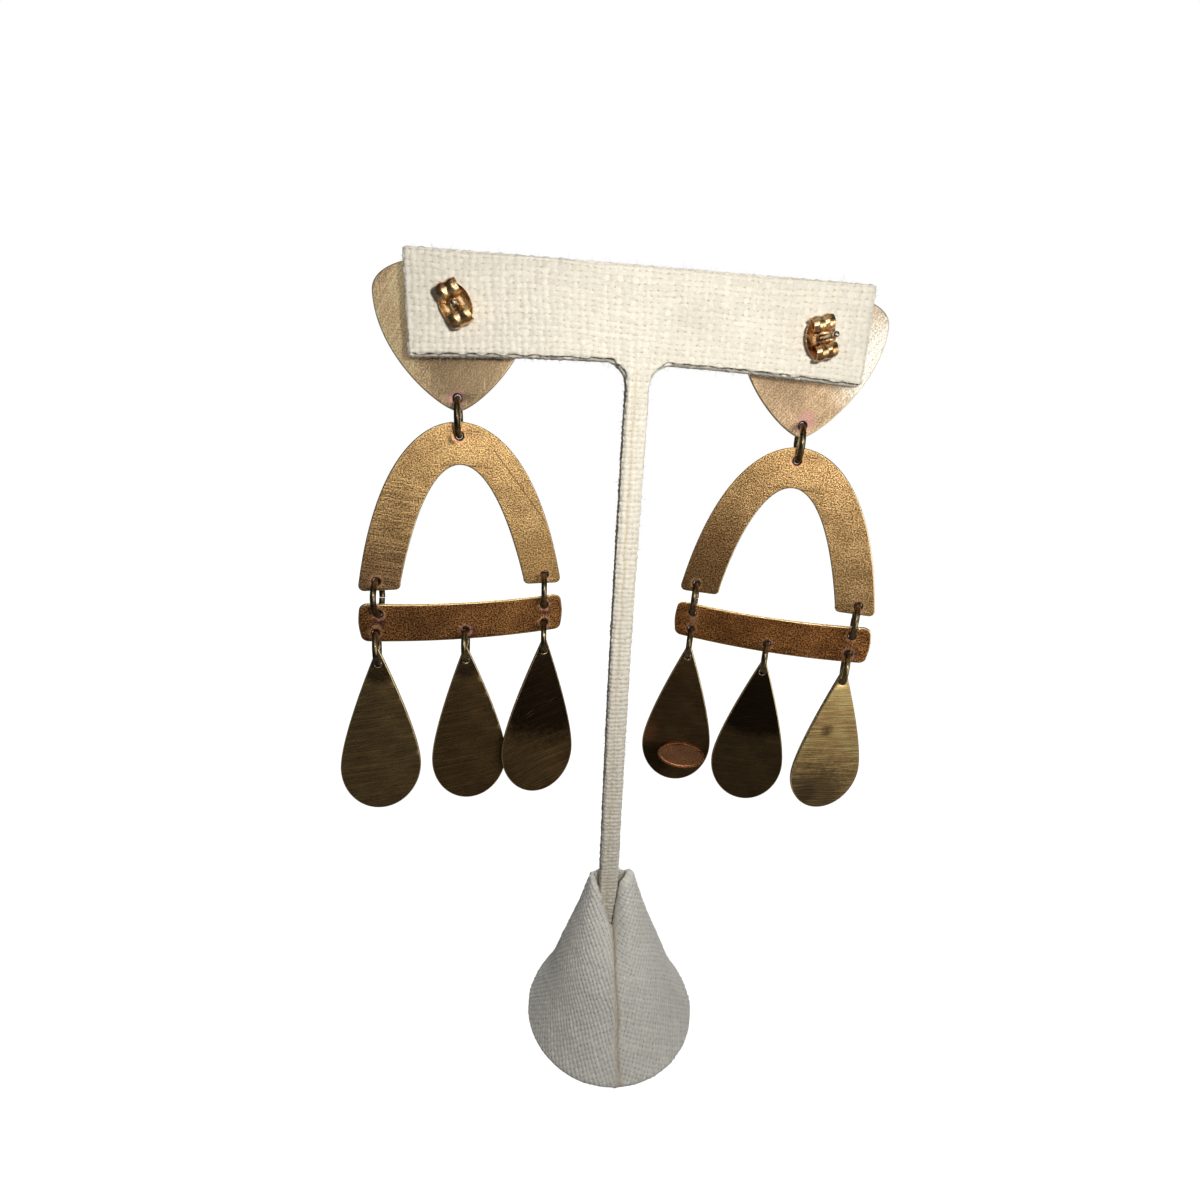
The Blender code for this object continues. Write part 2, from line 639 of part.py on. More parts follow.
def make_earring(name, facts, group, cutters, finishes):
    """One whole earring, from its post down to its three teardrops."""
    plate_x = facts["place"] * EARRING_SPREAD / 2
    post_shift = facts["post_shift"] * TOP_PLATE_WIDTH
    post_x, post_z = post_point(facts)
    hole = Vector((plate_x, SHEET_Y, post_z - POST_TO_HOLE))
    post_reach = facts["post_reach"] * POST_BEHIND_PANEL
    make_top_plate(f"{name}_top_plate", group, cutters, finishes["plate"], hole, post_shift, post_reach)
    slide = facts["clutch_slide"] * POST_BEHIND_PANEL
    seat_y = CLOTH_Y - PIECE_GAP - CLUTCH_STRIP_THICKNESS / 2 - slide
    post_place = Vector((post_x, seat_y, post_z))
    roll = math.radians(facts["clutch_roll"])
    make_clutch(f"{name}_clutch", group, cutters, finishes["clutch"], post_place, roll)

    ring_place = hole - Vector((0.0, 0.0, LINK_REACH))
    swing = empty(f"{name}_swing_axis", group, ring_place)
    finish_mesh(add_object(f"{name}_top_ring", ring_mesh(f"{name}_top_ring"), group, swing), finishes["ring"])

    turn = Matrix.Rotation(math.radians(facts["turn"]), 3, "Z")
    hang = turn @ Matrix.Rotation(math.radians(-facts["tilt"]), 3, "Y")
    frame = empty(f"{name}_arch_frame", group, (0.0, 0.0, -LINK_REACH), hang, swing)
    side = HANGER_SPREAD / 2
    foot_z = arch_foot_hole_z()
    arch_holes = [(0.0, 0.0), (-side, foot_z), (side, foot_z)]
    arch = sheet_mesh(f"{name}_arch", arch_outline(), arch_holes, SHEET_THICKNESS)
    hang_sheet(f"{name}_arch", group, finishes["arch"], arch, frame, (0.0, 0.0, 0.0))

    pivot = empty(f"{name}_bar_axis", group, (0.0, 0.0, foot_z - LINK_REACH), None, frame)
    for number, x in enumerate((-side, side), 1):
        ring = add_object(f"{name}_bar_ring_{number}", ring_mesh(f"{name}_bar_ring_{number}"), group, pivot)
        ring.location = (x, 0.0, 0.0)
        finish_mesh(ring, finishes["ring"])
    upper, outer, centre = bar_hole_heights()
    outer_x = -side + facts["outer_hole_shift"] * HANGER_SPREAD
    lower = [(outer_x, outer - upper), (0.0, centre - upper), (side, outer - upper)]
    bar_holes = [(-side, 0.0), (side, 0.0)] + lower
    bar = sheet_mesh(f"{name}_bar", bar_outline(), bar_holes, SHEET_THICKNESS)
    hang_sheet(f"{name}_bar", group, finishes["bar"], bar, pivot, (0.0, 0.0, -LINK_REACH))

    for number, ((x, z), pose) in enumerate(zip(lower, DROP_POSES[name]), 1):
        ring_z = z - 2 * LINK_REACH
        ring = add_object(f"{name}_drop_ring_{number}", ring_mesh(f"{name}_drop_ring_{number}"), group, pivot)
        ring.location = (x, 0.0, ring_z)
        finish_mesh(ring, finishes["ring"])
        level = Matrix.Rotation(math.radians(facts["tilt"]), 3, "Y")
        lean = Matrix.Rotation(math.radians(-pose["lean"]), 3, "Y")
        swing_back = Matrix.Rotation(math.radians(-pose["swing"]), 3, "X")
        twist = Matrix.Rotation(math.radians(pose["twist"]), 3, "Z")
        rotation = level @ lean @ swing_back @ twist
        drop_name = f"{name}_drop_{number}"
        mesh = sheet_mesh(drop_name, drop_outline, [(0.0, 0.0)], SHEET_THICKNESS)
        place = (x, 0.0, ring_z - LINK_REACH)
        drop = hang_sheet(drop_name, group, finishes["drop"], mesh, pivot, place, rotation)
        if drop_name == "right_drop_1":
            bpy.context.view_layer.update()
            height = DROP_HOLE_MARGIN - DROP_LENGTH + PLAQUE_ABOVE_END
            depth = -(PLAQUE_THICKNESS + SHEET_THICKNESS / 2) / 2
            place = drop.matrix_world @ Matrix.Translation((PLAQUE_OFFSET, depth, height))
            plaque = cutter("plaque", plaque_mesh(), cutters, place)
            apply_boolean(drop, plaque, "UNION")
            finish_mesh(drop, finishes["drop"])


def pierce_crossbar(board, cutters):
    """Drill the two holes in the crossbar that the ear posts pass through."""
    for facts in EARRINGS.values():
        x, z = post_point(facts)
        mesh = cylinder_mesh("post_hole", POST_DIAMETER / 2 + PIECE_GAP, 3 * PANEL_THICKNESS, BORE_SIDES)
        place = Matrix.Translation((x, 0.0, z)) @ Matrix.Rotation(math.radians(90.0), 4, "X")
        apply_boolean(board, cutter("post_hole", mesh, cutters, place), "DIFFERENCE")


def build():
    """Build the stand and both earrings."""
    clear_scene()
    group = collection("chandelier_earrings_on_stand")
    cutters = collection("cutters")
    linen = material("linen", (0.72, 0.68, 0.60), 0.9, 0.0)
    finishes = {
        "plate": material("pale_brass", (0.72, 0.56, 0.36), 0.38, 1.0),
        "arch": material("satin_brass", (0.66, 0.46, 0.20), 0.36, 1.0),
        "bar": material("brown_brass", (0.40, 0.25, 0.11), 0.4, 1.0),
        "drop": material("olive_brass", (0.30, 0.22, 0.09), 0.36, 1.0),
        "ring": material("antique_wire", (0.28, 0.22, 0.10), 0.3, 1.0),
        "clutch": material("bright_gold", (0.90, 0.62, 0.24), 0.16, 1.0),
    }
    board = make_tbar(group, linen)
    pierce_crossbar(board, cutters)
    finish_mesh(board, linen)
    make_base(group, cutters, linen)
    for name, facts in EARRINGS.items():
        make_earring(name, facts, group, cutters, finishes)


build()
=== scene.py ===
# %% [markdown]
# # Chandelier earrings on a linen T-bar, seen from the back
# Two brass earrings hang on a small shop stand that is wrapped in coarse linen. This lesson dresses the
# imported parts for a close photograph: every sheet, ring, clutch and the cloth is modelled again with the
# detail a lens sees, and each piece rides on the body of the part that it stands for.
# Sizes are written in millimetres and turned into metres by MM. +Z is up, and the camera looks along +Y
# at the backs of the pair.

import json
import math

import bpy
import numpy as np
from mathutils import Matrix, Vector


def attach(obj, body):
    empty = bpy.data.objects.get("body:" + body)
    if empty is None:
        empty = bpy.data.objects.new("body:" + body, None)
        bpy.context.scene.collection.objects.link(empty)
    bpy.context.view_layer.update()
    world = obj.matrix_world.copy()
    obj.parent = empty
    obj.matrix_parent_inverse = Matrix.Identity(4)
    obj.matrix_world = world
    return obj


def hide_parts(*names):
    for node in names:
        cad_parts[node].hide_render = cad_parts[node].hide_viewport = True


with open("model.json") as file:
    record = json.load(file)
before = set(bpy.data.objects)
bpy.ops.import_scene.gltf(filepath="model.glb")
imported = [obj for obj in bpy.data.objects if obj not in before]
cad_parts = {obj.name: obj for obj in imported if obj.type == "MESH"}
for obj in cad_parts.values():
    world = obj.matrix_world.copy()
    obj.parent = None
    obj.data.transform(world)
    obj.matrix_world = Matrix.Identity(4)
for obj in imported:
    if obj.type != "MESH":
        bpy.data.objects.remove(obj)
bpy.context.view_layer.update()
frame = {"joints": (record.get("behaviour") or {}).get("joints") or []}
MM = 0.001
JOINTS = {joint["name"]: joint for joint in frame["joints"]}

# %% [markdown]
# ## Hand tools
# Operators act on whatever is selected, so each step first picks its object. A finished piece has its
# place in its mesh, with its object at the origin, so patterns on it never slide.


# %% Picking, finishing and placing
def pick(*objects):
    """Select only these objects and make the first one active."""
    bpy.ops.object.select_all(action="DESELECT")
    for obj in objects:
        obj.select_set(True)
    bpy.context.view_layer.objects.active = objects[0]
    return objects[0]


def edit_mode():
    """Enter edit mode on the active object."""
    bpy.ops.object.mode_set(mode="EDIT")


def object_mode():
    """Leave edit mode."""
    bpy.ops.object.mode_set(mode="OBJECT")


def apply_place():
    """Put the selected objects' place, turn and scale into their meshes."""
    bpy.ops.object.transform_apply(location=True, rotation=True, scale=True)


def apply_modifiers(obj):
    """Turn every modifier of an object into mesh."""
    pick(obj)
    for step in list(obj.modifiers):
        bpy.ops.object.modifier_apply(modifier=step.name)


def bevel_edges(obj, name, width, segments, degrees=30.0):
    """Round the edges that are sharper than an angle, and apply all modifiers."""
    bevel = obj.modifiers.new(name, "BEVEL")
    bevel.width = width * MM
    bevel.segments = segments
    bevel.angle_limit = math.radians(degrees)
    apply_modifiers(obj)


def own_copy(obj):
    """A copy of a piece with its own mesh."""
    double = obj.copy()
    double.data = obj.data.copy()
    bpy.context.scene.collection.objects.link(double)
    return double


def settle(obj, place):
    """Move a piece to its place and put the place into its mesh."""
    pick(obj)
    obj.matrix_world = place
    apply_place()


def clean(obj):
    """Merge doubled points and point the faces outwards."""
    pick(obj)
    edit_mode()
    bpy.ops.mesh.select_all(action="SELECT")
    bpy.ops.mesh.remove_doubles(threshold=0.002 * MM)
    bpy.ops.mesh.normals_make_consistent(inside=False)
    object_mode()


def smooth(obj, degrees=35.0):
    """Shade smooth, with edges sharper than an angle left crisp."""
    pick(obj)
    bpy.ops.object.shade_smooth_by_angle(angle=math.radians(degrees))


def points_of(obj):
    """The mesh's points as an array, in millimetres."""
    flat = np.empty(len(obj.data.vertices) * 3)
    obj.data.vertices.foreach_get("co", flat)
    return flat.reshape(-1, 3) / MM


def set_points(obj, points):
    """Write points in millimetres back to the mesh."""
    obj.data.vertices.foreach_set("co", (points * MM).ravel())
    obj.data.update()


def point_mask(obj, name, values):
    """Keep a value per point, which a material can read by name."""
    layer = obj.data.attributes.new(name, "FLOAT", "POINT")
    layer.data.foreach_set("value", values.astype(np.float32))


def point_uv(obj, name, pairs):
    """Lay a UV map whose coordinates are given per point."""
    for old in list(obj.data.uv_layers):
        obj.data.uv_layers.remove(old)
    layer = obj.data.uv_layers.new(name=name)
    corners = np.empty(len(obj.data.loops), dtype=np.int32)
    obj.data.loops.foreach_get("vertex_index", corners)
    layer.uv.foreach_set("vector", pairs[corners].astype(np.float32).ravel())


# %% [markdown]
# ## Where the earrings hang
# Each earring is a chain: top plate, ring, arch, two rings, bar, three rings and three drops. The joints
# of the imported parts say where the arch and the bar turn. Everything else follows from the distance
# between two linked holes, so the same chain serves both sides.

# %% Hanging frames
LINK_REACH = 2.6
HANGER_HALF = 12.95
FOOT_HOLE_Z = -21.6
BAR_LOWER_Z = {"outer": -3.05, "centre": -3.56}
UPRIGHT = Matrix.Rotation(math.radians(90.0), 4, "X")
TILT = {"left": -0.3, "right": -2.0}
OUTER_HOLE_SHIFT = {"left": -0.65, "right": 0.0}


def move(x, y, z):
    """A shift in millimetres as a matrix."""
    return Matrix.Translation((x * MM, y * MM, z * MM))


def turned(degrees, axis):
    """A turn in degrees as a matrix."""
    return Matrix.Rotation(math.radians(degrees), 4, axis)


def hanging_frame(side):
    """Frame of the bar's swing axis, with X along the sheets and Z up."""
    joint = JOINTS[f"{side}_bar_swing"]
    along = Vector(joint["axis"]).normalized()
    across = Vector((-along.y, along.x, 0.0)).normalized()
    up = along.cross(across)
    turn = Matrix((along, across, up)).transposed().to_4x4()
    return Matrix.Translation(joint["pos_m"]) @ turn


FRAMES = {side: hanging_frame(side) for side in ("left", "right")}
for side, place in FRAMES.items():
    print(side, "bar axis at", [round(v / MM, 2) for v in place.translation])

# %% [markdown]
# ## Sheet pieces
# The plates are cut from 0.7 mm brass sheet and their rims are rubbed round with emery. A flat curve is
# the nearest thing to a scribed outline: its knots give the shape, a second closed line cuts a hole, and
# thickness and rim come from extrude and bevel. Then it becomes a mesh. Its flat coordinates in
# millimetres are kept as a UV map, so that brush marks follow each plate wherever it hangs.

# %% Cut a sheet from a drawn outline
SHEET = 0.7
RIM = 0.2
HOLE = 0.5


def drawn_sheet(name, outline, holes, thickness=SHEET, hole_radius=HOLE, rim=RIM):
    """A flat piece from an outline of points, or of knots with their two handles, and its round holes."""
    bpy.ops.object.select_all(action="DESELECT")
    bpy.ops.curve.primitive_bezier_circle_add(radius=10 * MM, location=(0, 0, 0))
    obj = bpy.context.object
    obj.name = name
    curve = obj.data
    curve.dimensions = "2D"
    curve.fill_mode = "BOTH"
    curve.extrude = (thickness / 2 - rim) * MM
    curve.bevel_depth = rim * MM
    curve.bevel_resolution = 2
    curve.offset = -rim * MM
    curve.resolution_u = 6
    line = curve.splines[0]
    if len(outline[0]) == 3:
        curve.resolution_u = 24
        for knot, (at, before, after) in zip(line.bezier_points, outline):
            knot.handle_left_type = knot.handle_right_type = "FREE"
            knot.co = (at[0] * MM, at[1] * MM, 0)
            knot.handle_left = (before[0] * MM, before[1] * MM, 0)
            knot.handle_right = (after[0] * MM, after[1] * MM, 0)
    else:
        curve.splines.remove(line)
        line = curve.splines.new("POLY")
        line.points.add(len(outline) - 1)
        for knot, (x, z) in zip(line.points, outline):
            knot.co = (x * MM, z * MM, 0, 1)
        line.use_cyclic_u = True
    edit_mode()
    for x, z in holes:
        bpy.ops.curve.select_all(action="DESELECT")
        bpy.ops.curve.primitive_bezier_circle_add(radius=hole_radius * MM, location=(x * MM, z * MM, 0))
        bpy.ops.curve.switch_direction()
    object_mode()
    bpy.ops.object.convert(target="MESH")
    obj = bpy.context.object
    clean(obj)
    flat = points_of(obj)
    point_uv(obj, "sheet", flat[:, :2])
    point_mask(obj, "rim", (np.abs(flat[:, 2]) < thickness / 2 - 0.02).astype(float))
    smooth(obj, 50.0)
    obj.modifiers.new("Flat faces stay flat", "WEIGHTED_NORMAL").keep_sharp = True
    apply_modifiers(obj)
    return obj


# %% [markdown]
# ### Top plates
# A top plate is a triangle with blown-out sides. Four knots draw it: the point, the two shoulders and
# the crown. Each plate was cut by hand, so the two differ by a few tenths.

# %% Outlines of the top plates
TOP_PLATES = {
    "left": [
        ((0.0, -1.8), (-2.3, -1.8), (2.2, -1.8)),
        ((11.0, 13.8), (11.0, 5.8), (11.0, 17.0)),
        ((0.0, 18.2), (6.0, 18.2), (-6.0, 18.2)),
        ((-11.0, 13.6), (-10.9, 16.6), (-11.2, 5.2)),
    ],
    "right": [
        ((0.0, -1.8), (-2.2, -1.8), (2.2, -1.8)),
        ((11.0, 13.8), (11.0, 5.9), (11.0, 17.1)),
        ((0.0, 18.2), (6.1, 18.2), (-6.0, 18.2)),
        ((-11.0, 13.8), (-11.0, 17.0), (-11.0, 5.8)),
    ],
}
top_plates = {}
for side, knots in TOP_PLATES.items():
    top_plates[side] = drawn_sheet(f"{side}_top_plate_sheet", knots, [(0.0, 0.0)])
    print(side, "top plate:", [round(v / MM, 2) for v in top_plates[side].dimensions])

# %% [markdown]
# ### Ear posts
# A post is a wire of 0.8 mm soldered to the plate, with a rounded tip and a small groove near the end
# that the clutch snaps into. It starts as a short cylinder whose end face is extruded and scaled again
# and again, which is the quickest way to turn a stepped rod.

# %% Turn the posts and solder them on
POSTS = {
    "left": {"x": 0.99, "behind": 3.06, "reach": 11.6},
    "right": {"x": -1.408, "behind": 6.8, "reach": 11.6},
}
POST_RADIUS = 0.4
TIP_STEPS = [(0.15, 0.8), (0.3, 1.0), (0.15, 1.25), (0.7, 1.0), (0.12, 0.85), (0.1, 0.6), (0.04, 0.4)]
SHEET_Y = 2.65
CLOTH_Y = -2.0


def lathe_out(steps, along, centre):
    """Extrude the selected end face in steps of length and scale."""
    place = Vector(centre)
    for length, scale in steps:
        reach = Vector(along) * length * MM
        bpy.ops.mesh.extrude_region_move(TRANSFORM_OT_translate={"value": reach})
        place = place + reach
        bpy.ops.transform.resize(value=(scale, scale, scale), center_override=place)


def select_end(obj, along):
    """Select the face of a mesh that looks a given way, in edit mode."""
    edit_mode()
    bpy.ops.mesh.select_mode(type="FACE")
    bpy.ops.mesh.select_all(action="DESELECT")
    object_mode()
    for face in obj.data.polygons:
        face.select = face.normal.dot(Vector(along)) > 0.99
    edit_mode()


for side, post in POSTS.items():
    tip = sum(length for length, _ in TIP_STEPS)
    length = SHEET_Y - CLOTH_Y + post["behind"] - tip
    bpy.ops.object.select_all(action="DESELECT")
    middle = (post["x"] * MM, -length / 2 * MM, post["reach"] * MM)
    bpy.ops.mesh.primitive_cylinder_add(
        vertices=24,
        radius=POST_RADIUS * MM,
        depth=length * MM,
        location=middle,
        rotation=(math.pi / 2, 0, 0),
    )
    rod = bpy.context.object
    apply_place()
    select_end(rod, (0, -1, 0))
    end = (post["x"] * MM, -length * MM, post["reach"] * MM)
    lathe_out(TIP_STEPS, (0, -1, 0), end)
    object_mode()
    smooth(rod, 40.0)
    post["object"] = rod
    print(side, "post:", round(length + tip, 2), "mm long")

# %% [markdown]
# ### Arches
# The arch is one band of even width bent over in the drawing, not in the metal. Its outer and inner
# lines are parabolas with fuller shoulders, and its feet have small round corners, so it is drawn from
# computed points instead of knots.


# %% Outline of an arch
def arch_line(width, height, top, fullness, steps=72, ends=(1.0, 1.0)):
    """One side of the band from left over the top to right; ends widen or narrow its feet."""
    spread = 1.0 - math.exp(-fullness)
    limit = math.sqrt((1.0 - math.exp(-fullness * (1.0 - 1.0 / height))) / spread)
    line = []
    for i in range(steps + 1):
        share = limit * (2.0 * i / steps - 1.0)
        drop = -height * math.log(1.0 - spread * share**2) / fullness
        foot = (drop / height) ** 2
        wider = 1.0 + (ends[0 if share < 0 else 1] - 1.0) * foot
        line.append((width / 2 * share * wider, top - drop))
    return line


def arch_outline(inner_ends):
    """The whole closed outline, with rounded feet."""
    outer = arch_line(width=31.5, height=25.1, top=2.0, fullness=1.0)
    inner = arch_line(width=19.4, height=18.9, top=-4.2, fullness=0.3, ends=inner_ends)
    feet = []
    for end, inward in ((outer[-1], -1), (inner[-1], 1), (inner[0], -1), (outer[0], 1)):
        corner = []
        for k in (1, 2, 3, 4):
            turn = math.radians(90.0 * k / 4)
            across = end[0] + inward * ((1 - math.cos(turn)) * 0.95 - 0.12 * math.sin(turn))
            corner.append((across, ARCH_FOOT + (1.0 - math.sin(turn))))
        feet.append(corner)
    feet[1].reverse()
    feet[3].reverse()
    return outer + feet[0] + feet[1] + inner[::-1] + feet[2] + feet[3]


ARCH_FOOT = -23.1
ARCH_HOLES = [(0.0, 0.0), (-HANGER_HALF, FOOT_HOLE_Z), (HANGER_HALF, FOOT_HOLE_Z)]
ARCH_INNER_ENDS = {"left": (1.0, 1.0), "right": (0.95, 1.0)}
arches = {}
for side, ends in ARCH_INNER_ENDS.items():
    arches[side] = drawn_sheet(f"{side}_arch_sheet", arch_outline(ends), ARCH_HOLES)
    settle(arches[side], FRAMES[side] @ move(0, 0, LINK_REACH - FOOT_HOLE_Z) @ UPRIGHT)
    print(side, "arch:", len(arches[side].data.polygons), "faces")

# %% [markdown]
# ### Bars
# A bar smiles a little: its middle hangs 0.8 mm lower than its ends, which bulge between their corners.
# Two holes above take the rings of the arch, and three below take the rings of the drops.


# %% Outline of a bar
BAR_SAG = 0.8
BAR_HALF_LENGTH = 16.05
BAR_HALF_WIDTH = 3.075
BAR_STRAIGHT = 14.5
CORNER_X, CORNER_Z = 1.3, 1.1


def bar_middle(x):
    """Height of the bar's middle line."""
    return -BAR_SAG * (1.0 - (x / BAR_HALF_LENGTH) ** 2)


def bar_outline():
    """Closed outline around the sagging middle line; the upper holes lie on Z = 0."""
    upper = bar_middle(HANGER_HALF) + 1.525
    xs = [BAR_STRAIGHT * (i / 24 - 1.0) for i in range(49)]
    over = [(x, bar_middle(x) + BAR_HALF_WIDTH - upper) for x in xs]
    under = [(x, bar_middle(x) - BAR_HALF_WIDTH - upper) for x in reversed(xs)]

    def corner(x, z, start):
        turns = [math.radians(start - 90.0 * k / 6) for k in range(1, 7)]
        return [(x + CORNER_X * math.cos(t), z + CORNER_Z * math.sin(t)) for t in turns]

    high, low = over[0][1] - CORNER_Z, under[0][1] + CORNER_Z
    bulge = [(15.8 + 0.2 * math.sin(math.pi * k / 6), high + (low - high) * k / 6) for k in range(1, 6)]
    right = corner(BAR_STRAIGHT, high, 90.0) + bulge + corner(BAR_STRAIGHT, low, 0.0)
    left = corner(-BAR_STRAIGHT, low, -90.0) + [(-x, high + low - z) for x, z in bulge]
    left += corner(-BAR_STRAIGHT, high, 180.0)
    return over + right + under + left


bars = {}
BAR_LOWER_HOLES = {}
for side in ("left", "right"):
    outer = -HANGER_HALF + OUTER_HOLE_SHIFT[side]
    lower = [
        (outer, BAR_LOWER_Z["outer"]),
        (0.0, BAR_LOWER_Z["centre"]),
        (HANGER_HALF, BAR_LOWER_Z["outer"]),
    ]
    BAR_LOWER_HOLES[side] = lower
    holes = [(-HANGER_HALF, 0.0), (HANGER_HALF, 0.0)] + lower
    bars[side] = drawn_sheet(f"{side}_bar_sheet", bar_outline(), holes)
    settle(bars[side], FRAMES[side] @ move(0, 0, -LINK_REACH) @ UPRIGHT)
    print(side, "bar:", len(bars[side].data.polygons), "faces")

# %% [markdown]
# ### Teardrops
# Three drops hang under each bar. A drop is drawn with four knots, like a pear: a sharp top, two flanks
# and a round end. On its single ring each drop leans, swings and turns a little, so the six backs catch
# the light differently; their finishes also paint each one lighter or darker, with painted highlight
# and painted shade.

# %% Draw the drops and hang them
DROP_KNOTS = [
    ((0.0, 2.8), (-2.19, -2.63), (2.19, -2.63)),
    ((6.25, -18.08), (6.25, -13.5), (6.25, -22.34)),
    ((0.0, -25.8), (3.45, -25.8), (-3.45, -25.8)),
    ((-6.25, -18.08), (-6.25, -22.34), (-6.25, -13.5)),
]
DROP_POSES = {
    "left": ((-2.4, 2.5, 0.0), (-0.2, 2.0, 0.0), (-4.8, 6.5, 0.0)),
    "right": ((-3.0, -1.5, 8.0), (-2.6, 0.0, 5.0), (-0.7, -3.5, 22.0)),
}


def drop_place(side, number):
    """Where a drop hangs: its own lean, backward swing and turn at its ring."""
    x, z = BAR_LOWER_HOLES[side][number]
    lean, swing, turn = DROP_POSES[side][number]
    hang = turned(TILT[side], "Y") @ turned(-lean, "Y") @ turned(-swing, "X") @ turned(turn, "Z")
    return FRAMES[side] @ move(x, 0, z - 3 * LINK_REACH) @ hang


drops = {}
for side in ("left", "right"):
    for number in range(3):
        drop = drawn_sheet(f"{side}_drop_{number + 1}_sheet", DROP_KNOTS, [(0.0, 0.0)])
        settle(drop, drop_place(side, number) @ UPRIGHT)
        drops[side, number] = drop
print("drops:", len(drops), "of", [round(v / MM, 1) for v in drops["left", 0].dimensions])

# %% [markdown]
# ### Plaque
# One drop carries a small oval plaque, soldered on. It stays bare. A disc is squeezed to an oval, its
# outer face is inset and sunk for a low raised border, and the border's edges are bevelled.

# %% Model the plaque and solder it on
PLAQUE = 0.85
PLAQUE_HALF_WIDTH, PLAQUE_HALF_HEIGHT = 4.4, 2.65
bpy.ops.object.select_all(action="DESELECT")
bpy.ops.mesh.primitive_cylinder_add(
    vertices=72, radius=1 * MM, depth=PLAQUE * MM, rotation=(math.pi / 2, 0, 0)
)
plaque = bpy.context.object
apply_place()
edit_mode()
bpy.ops.mesh.select_all(action="SELECT")
bpy.ops.transform.resize(value=(PLAQUE_HALF_WIDTH, 1.0, PLAQUE_HALF_HEIGHT), center_override=(0, 0, 0))
object_mode()
select_end(plaque, (0, -1, 0))
bpy.ops.mesh.inset(thickness=0.4 * MM, depth=0)
bpy.ops.mesh.inset(thickness=0.12 * MM, depth=-0.14 * MM)
object_mode()
bevel_edges(plaque, "Soft edges", 0.08, 3, 25.0)
flat = points_of(plaque)
point_uv(plaque, "sheet", flat[:, [0, 2]])
point_mask(plaque, "rim", (flat[:, 1] > -0.3).astype(float) * 0.5)
smooth(plaque, 30.0)
settle(plaque, drop_place("right", 0) @ move(1.25, -PLAQUE / 2, -20.1))
print("plaque:", [round(v / MM, 2) for v in plaque.dimensions])

# %% [markdown]
# ## Jump rings
# A jump ring is a turn of 0.9 mm wire, cut once and bent open sideways to thread it. Closed again, its
# ends never meet quite true. A torus gives the turn. A thin wedge of faces is deleted, the two ends are
# filled and bevelled, and one of them is pushed a little aside.

# %% Model one ring with its cut
RING_RADIUS = 2.59
WIRE_RADIUS = 0.45
CUT_DEGREES = 4.9
bpy.ops.object.select_all(action="DESELECT")
bpy.ops.mesh.primitive_torus_add(
    major_segments=72,
    minor_segments=16,
    major_radius=RING_RADIUS * MM,
    minor_radius=WIRE_RADIUS * MM,
)
ring_master = bpy.context.object
ring_master.name = "ring_master"
edit_mode()
bpy.ops.mesh.select_mode(type="FACE")
bpy.ops.mesh.select_all(action="DESELECT")
object_mode()
for face in ring_master.data.polygons:
    around = math.degrees(math.atan2(face.center.y, face.center.x))
    face.select = 0.0 < around < CUT_DEGREES
edit_mode()
bpy.ops.mesh.delete(type="FACE")
bpy.ops.mesh.select_mode(type="EDGE")
bpy.ops.mesh.select_non_manifold()
bpy.ops.mesh.edge_face_add()
object_mode()
ring_points = points_of(ring_master)
angles = np.degrees(np.arctan2(ring_points[:, 1], ring_points[:, 0])) % 360.0
angles = np.where(angles < 2.0, 360.0, angles)
reach = np.hypot(ring_points[:, 0], ring_points[:, 1])
closed = np.radians(360.0 - (360.0 - angles) * 358.6 / 355.0)
ring_points[:, 0], ring_points[:, 1] = reach * np.cos(closed), reach * np.sin(closed)
ring_points[:, 2] += 0.04 * np.clip(1.0 - (angles - 5.0) / 40.0, 0.0, 1.0) ** 2
set_points(ring_master, ring_points)
bevel_edges(ring_master, "Filed ends", 0.06, 2, 50.0)
smooth(ring_master, 40.0)
print("ring:", len(ring_master.data.polygons), "faces")


# %% Hang the twelve rings
RING_TURNS = {"left": (4, -12, -12, -3, -11, -12), "right": (-12, 1, -6, 3, -1, -3)}


def ring_places(side):
    """Name and place of each ring of one earring, from the top down."""
    places = [("top_ring", Matrix.Translation(JOINTS[f"{side}_arch_swing"]["pos_m"]))]
    for number, x in enumerate((-HANGER_HALF, HANGER_HALF), 1):
        places.append((f"bar_ring_{number}", FRAMES[side] @ move(x, 0, 0)))
    for number, (x, z) in enumerate(BAR_LOWER_HOLES[side], 1):
        places.append((f"drop_ring_{number}", FRAMES[side] @ move(x, 0, z - 2 * LINK_REACH)))
    return places


STANDING = turned(90.0, "Y")
rings = {}
for side, turns in RING_TURNS.items():
    for number, ((name, place), turn) in enumerate(zip(ring_places(side), turns)):
        ring = own_copy(ring_master)
        ring.name = f"{side}_{name}_wire"
        settle(ring, place @ turned(turn, "Z") @ STANDING @ turned(60.0 + 11.0 * number, "Z"))
        rings[side, name] = ring
bpy.data.objects.remove(ring_master)
print("rings:", len(rings))

# %% [markdown]
# ## Butterfly clutches
# A clutch is stamped from thin gilt strip: a dished oval base with a hole lies against the cloth, and a
# ribbed tongue on each side is rolled over until the two scrolls grip the post. The tongue's profile is
# a row of points across its width, extruded along the base and then spun around the scroll's centre.

# %% Roll the scrolls
STRIP = 0.26
SCROLL = 1.05
SCROLL_CENTRE = 1.95
STRIP_HALF = 1.6


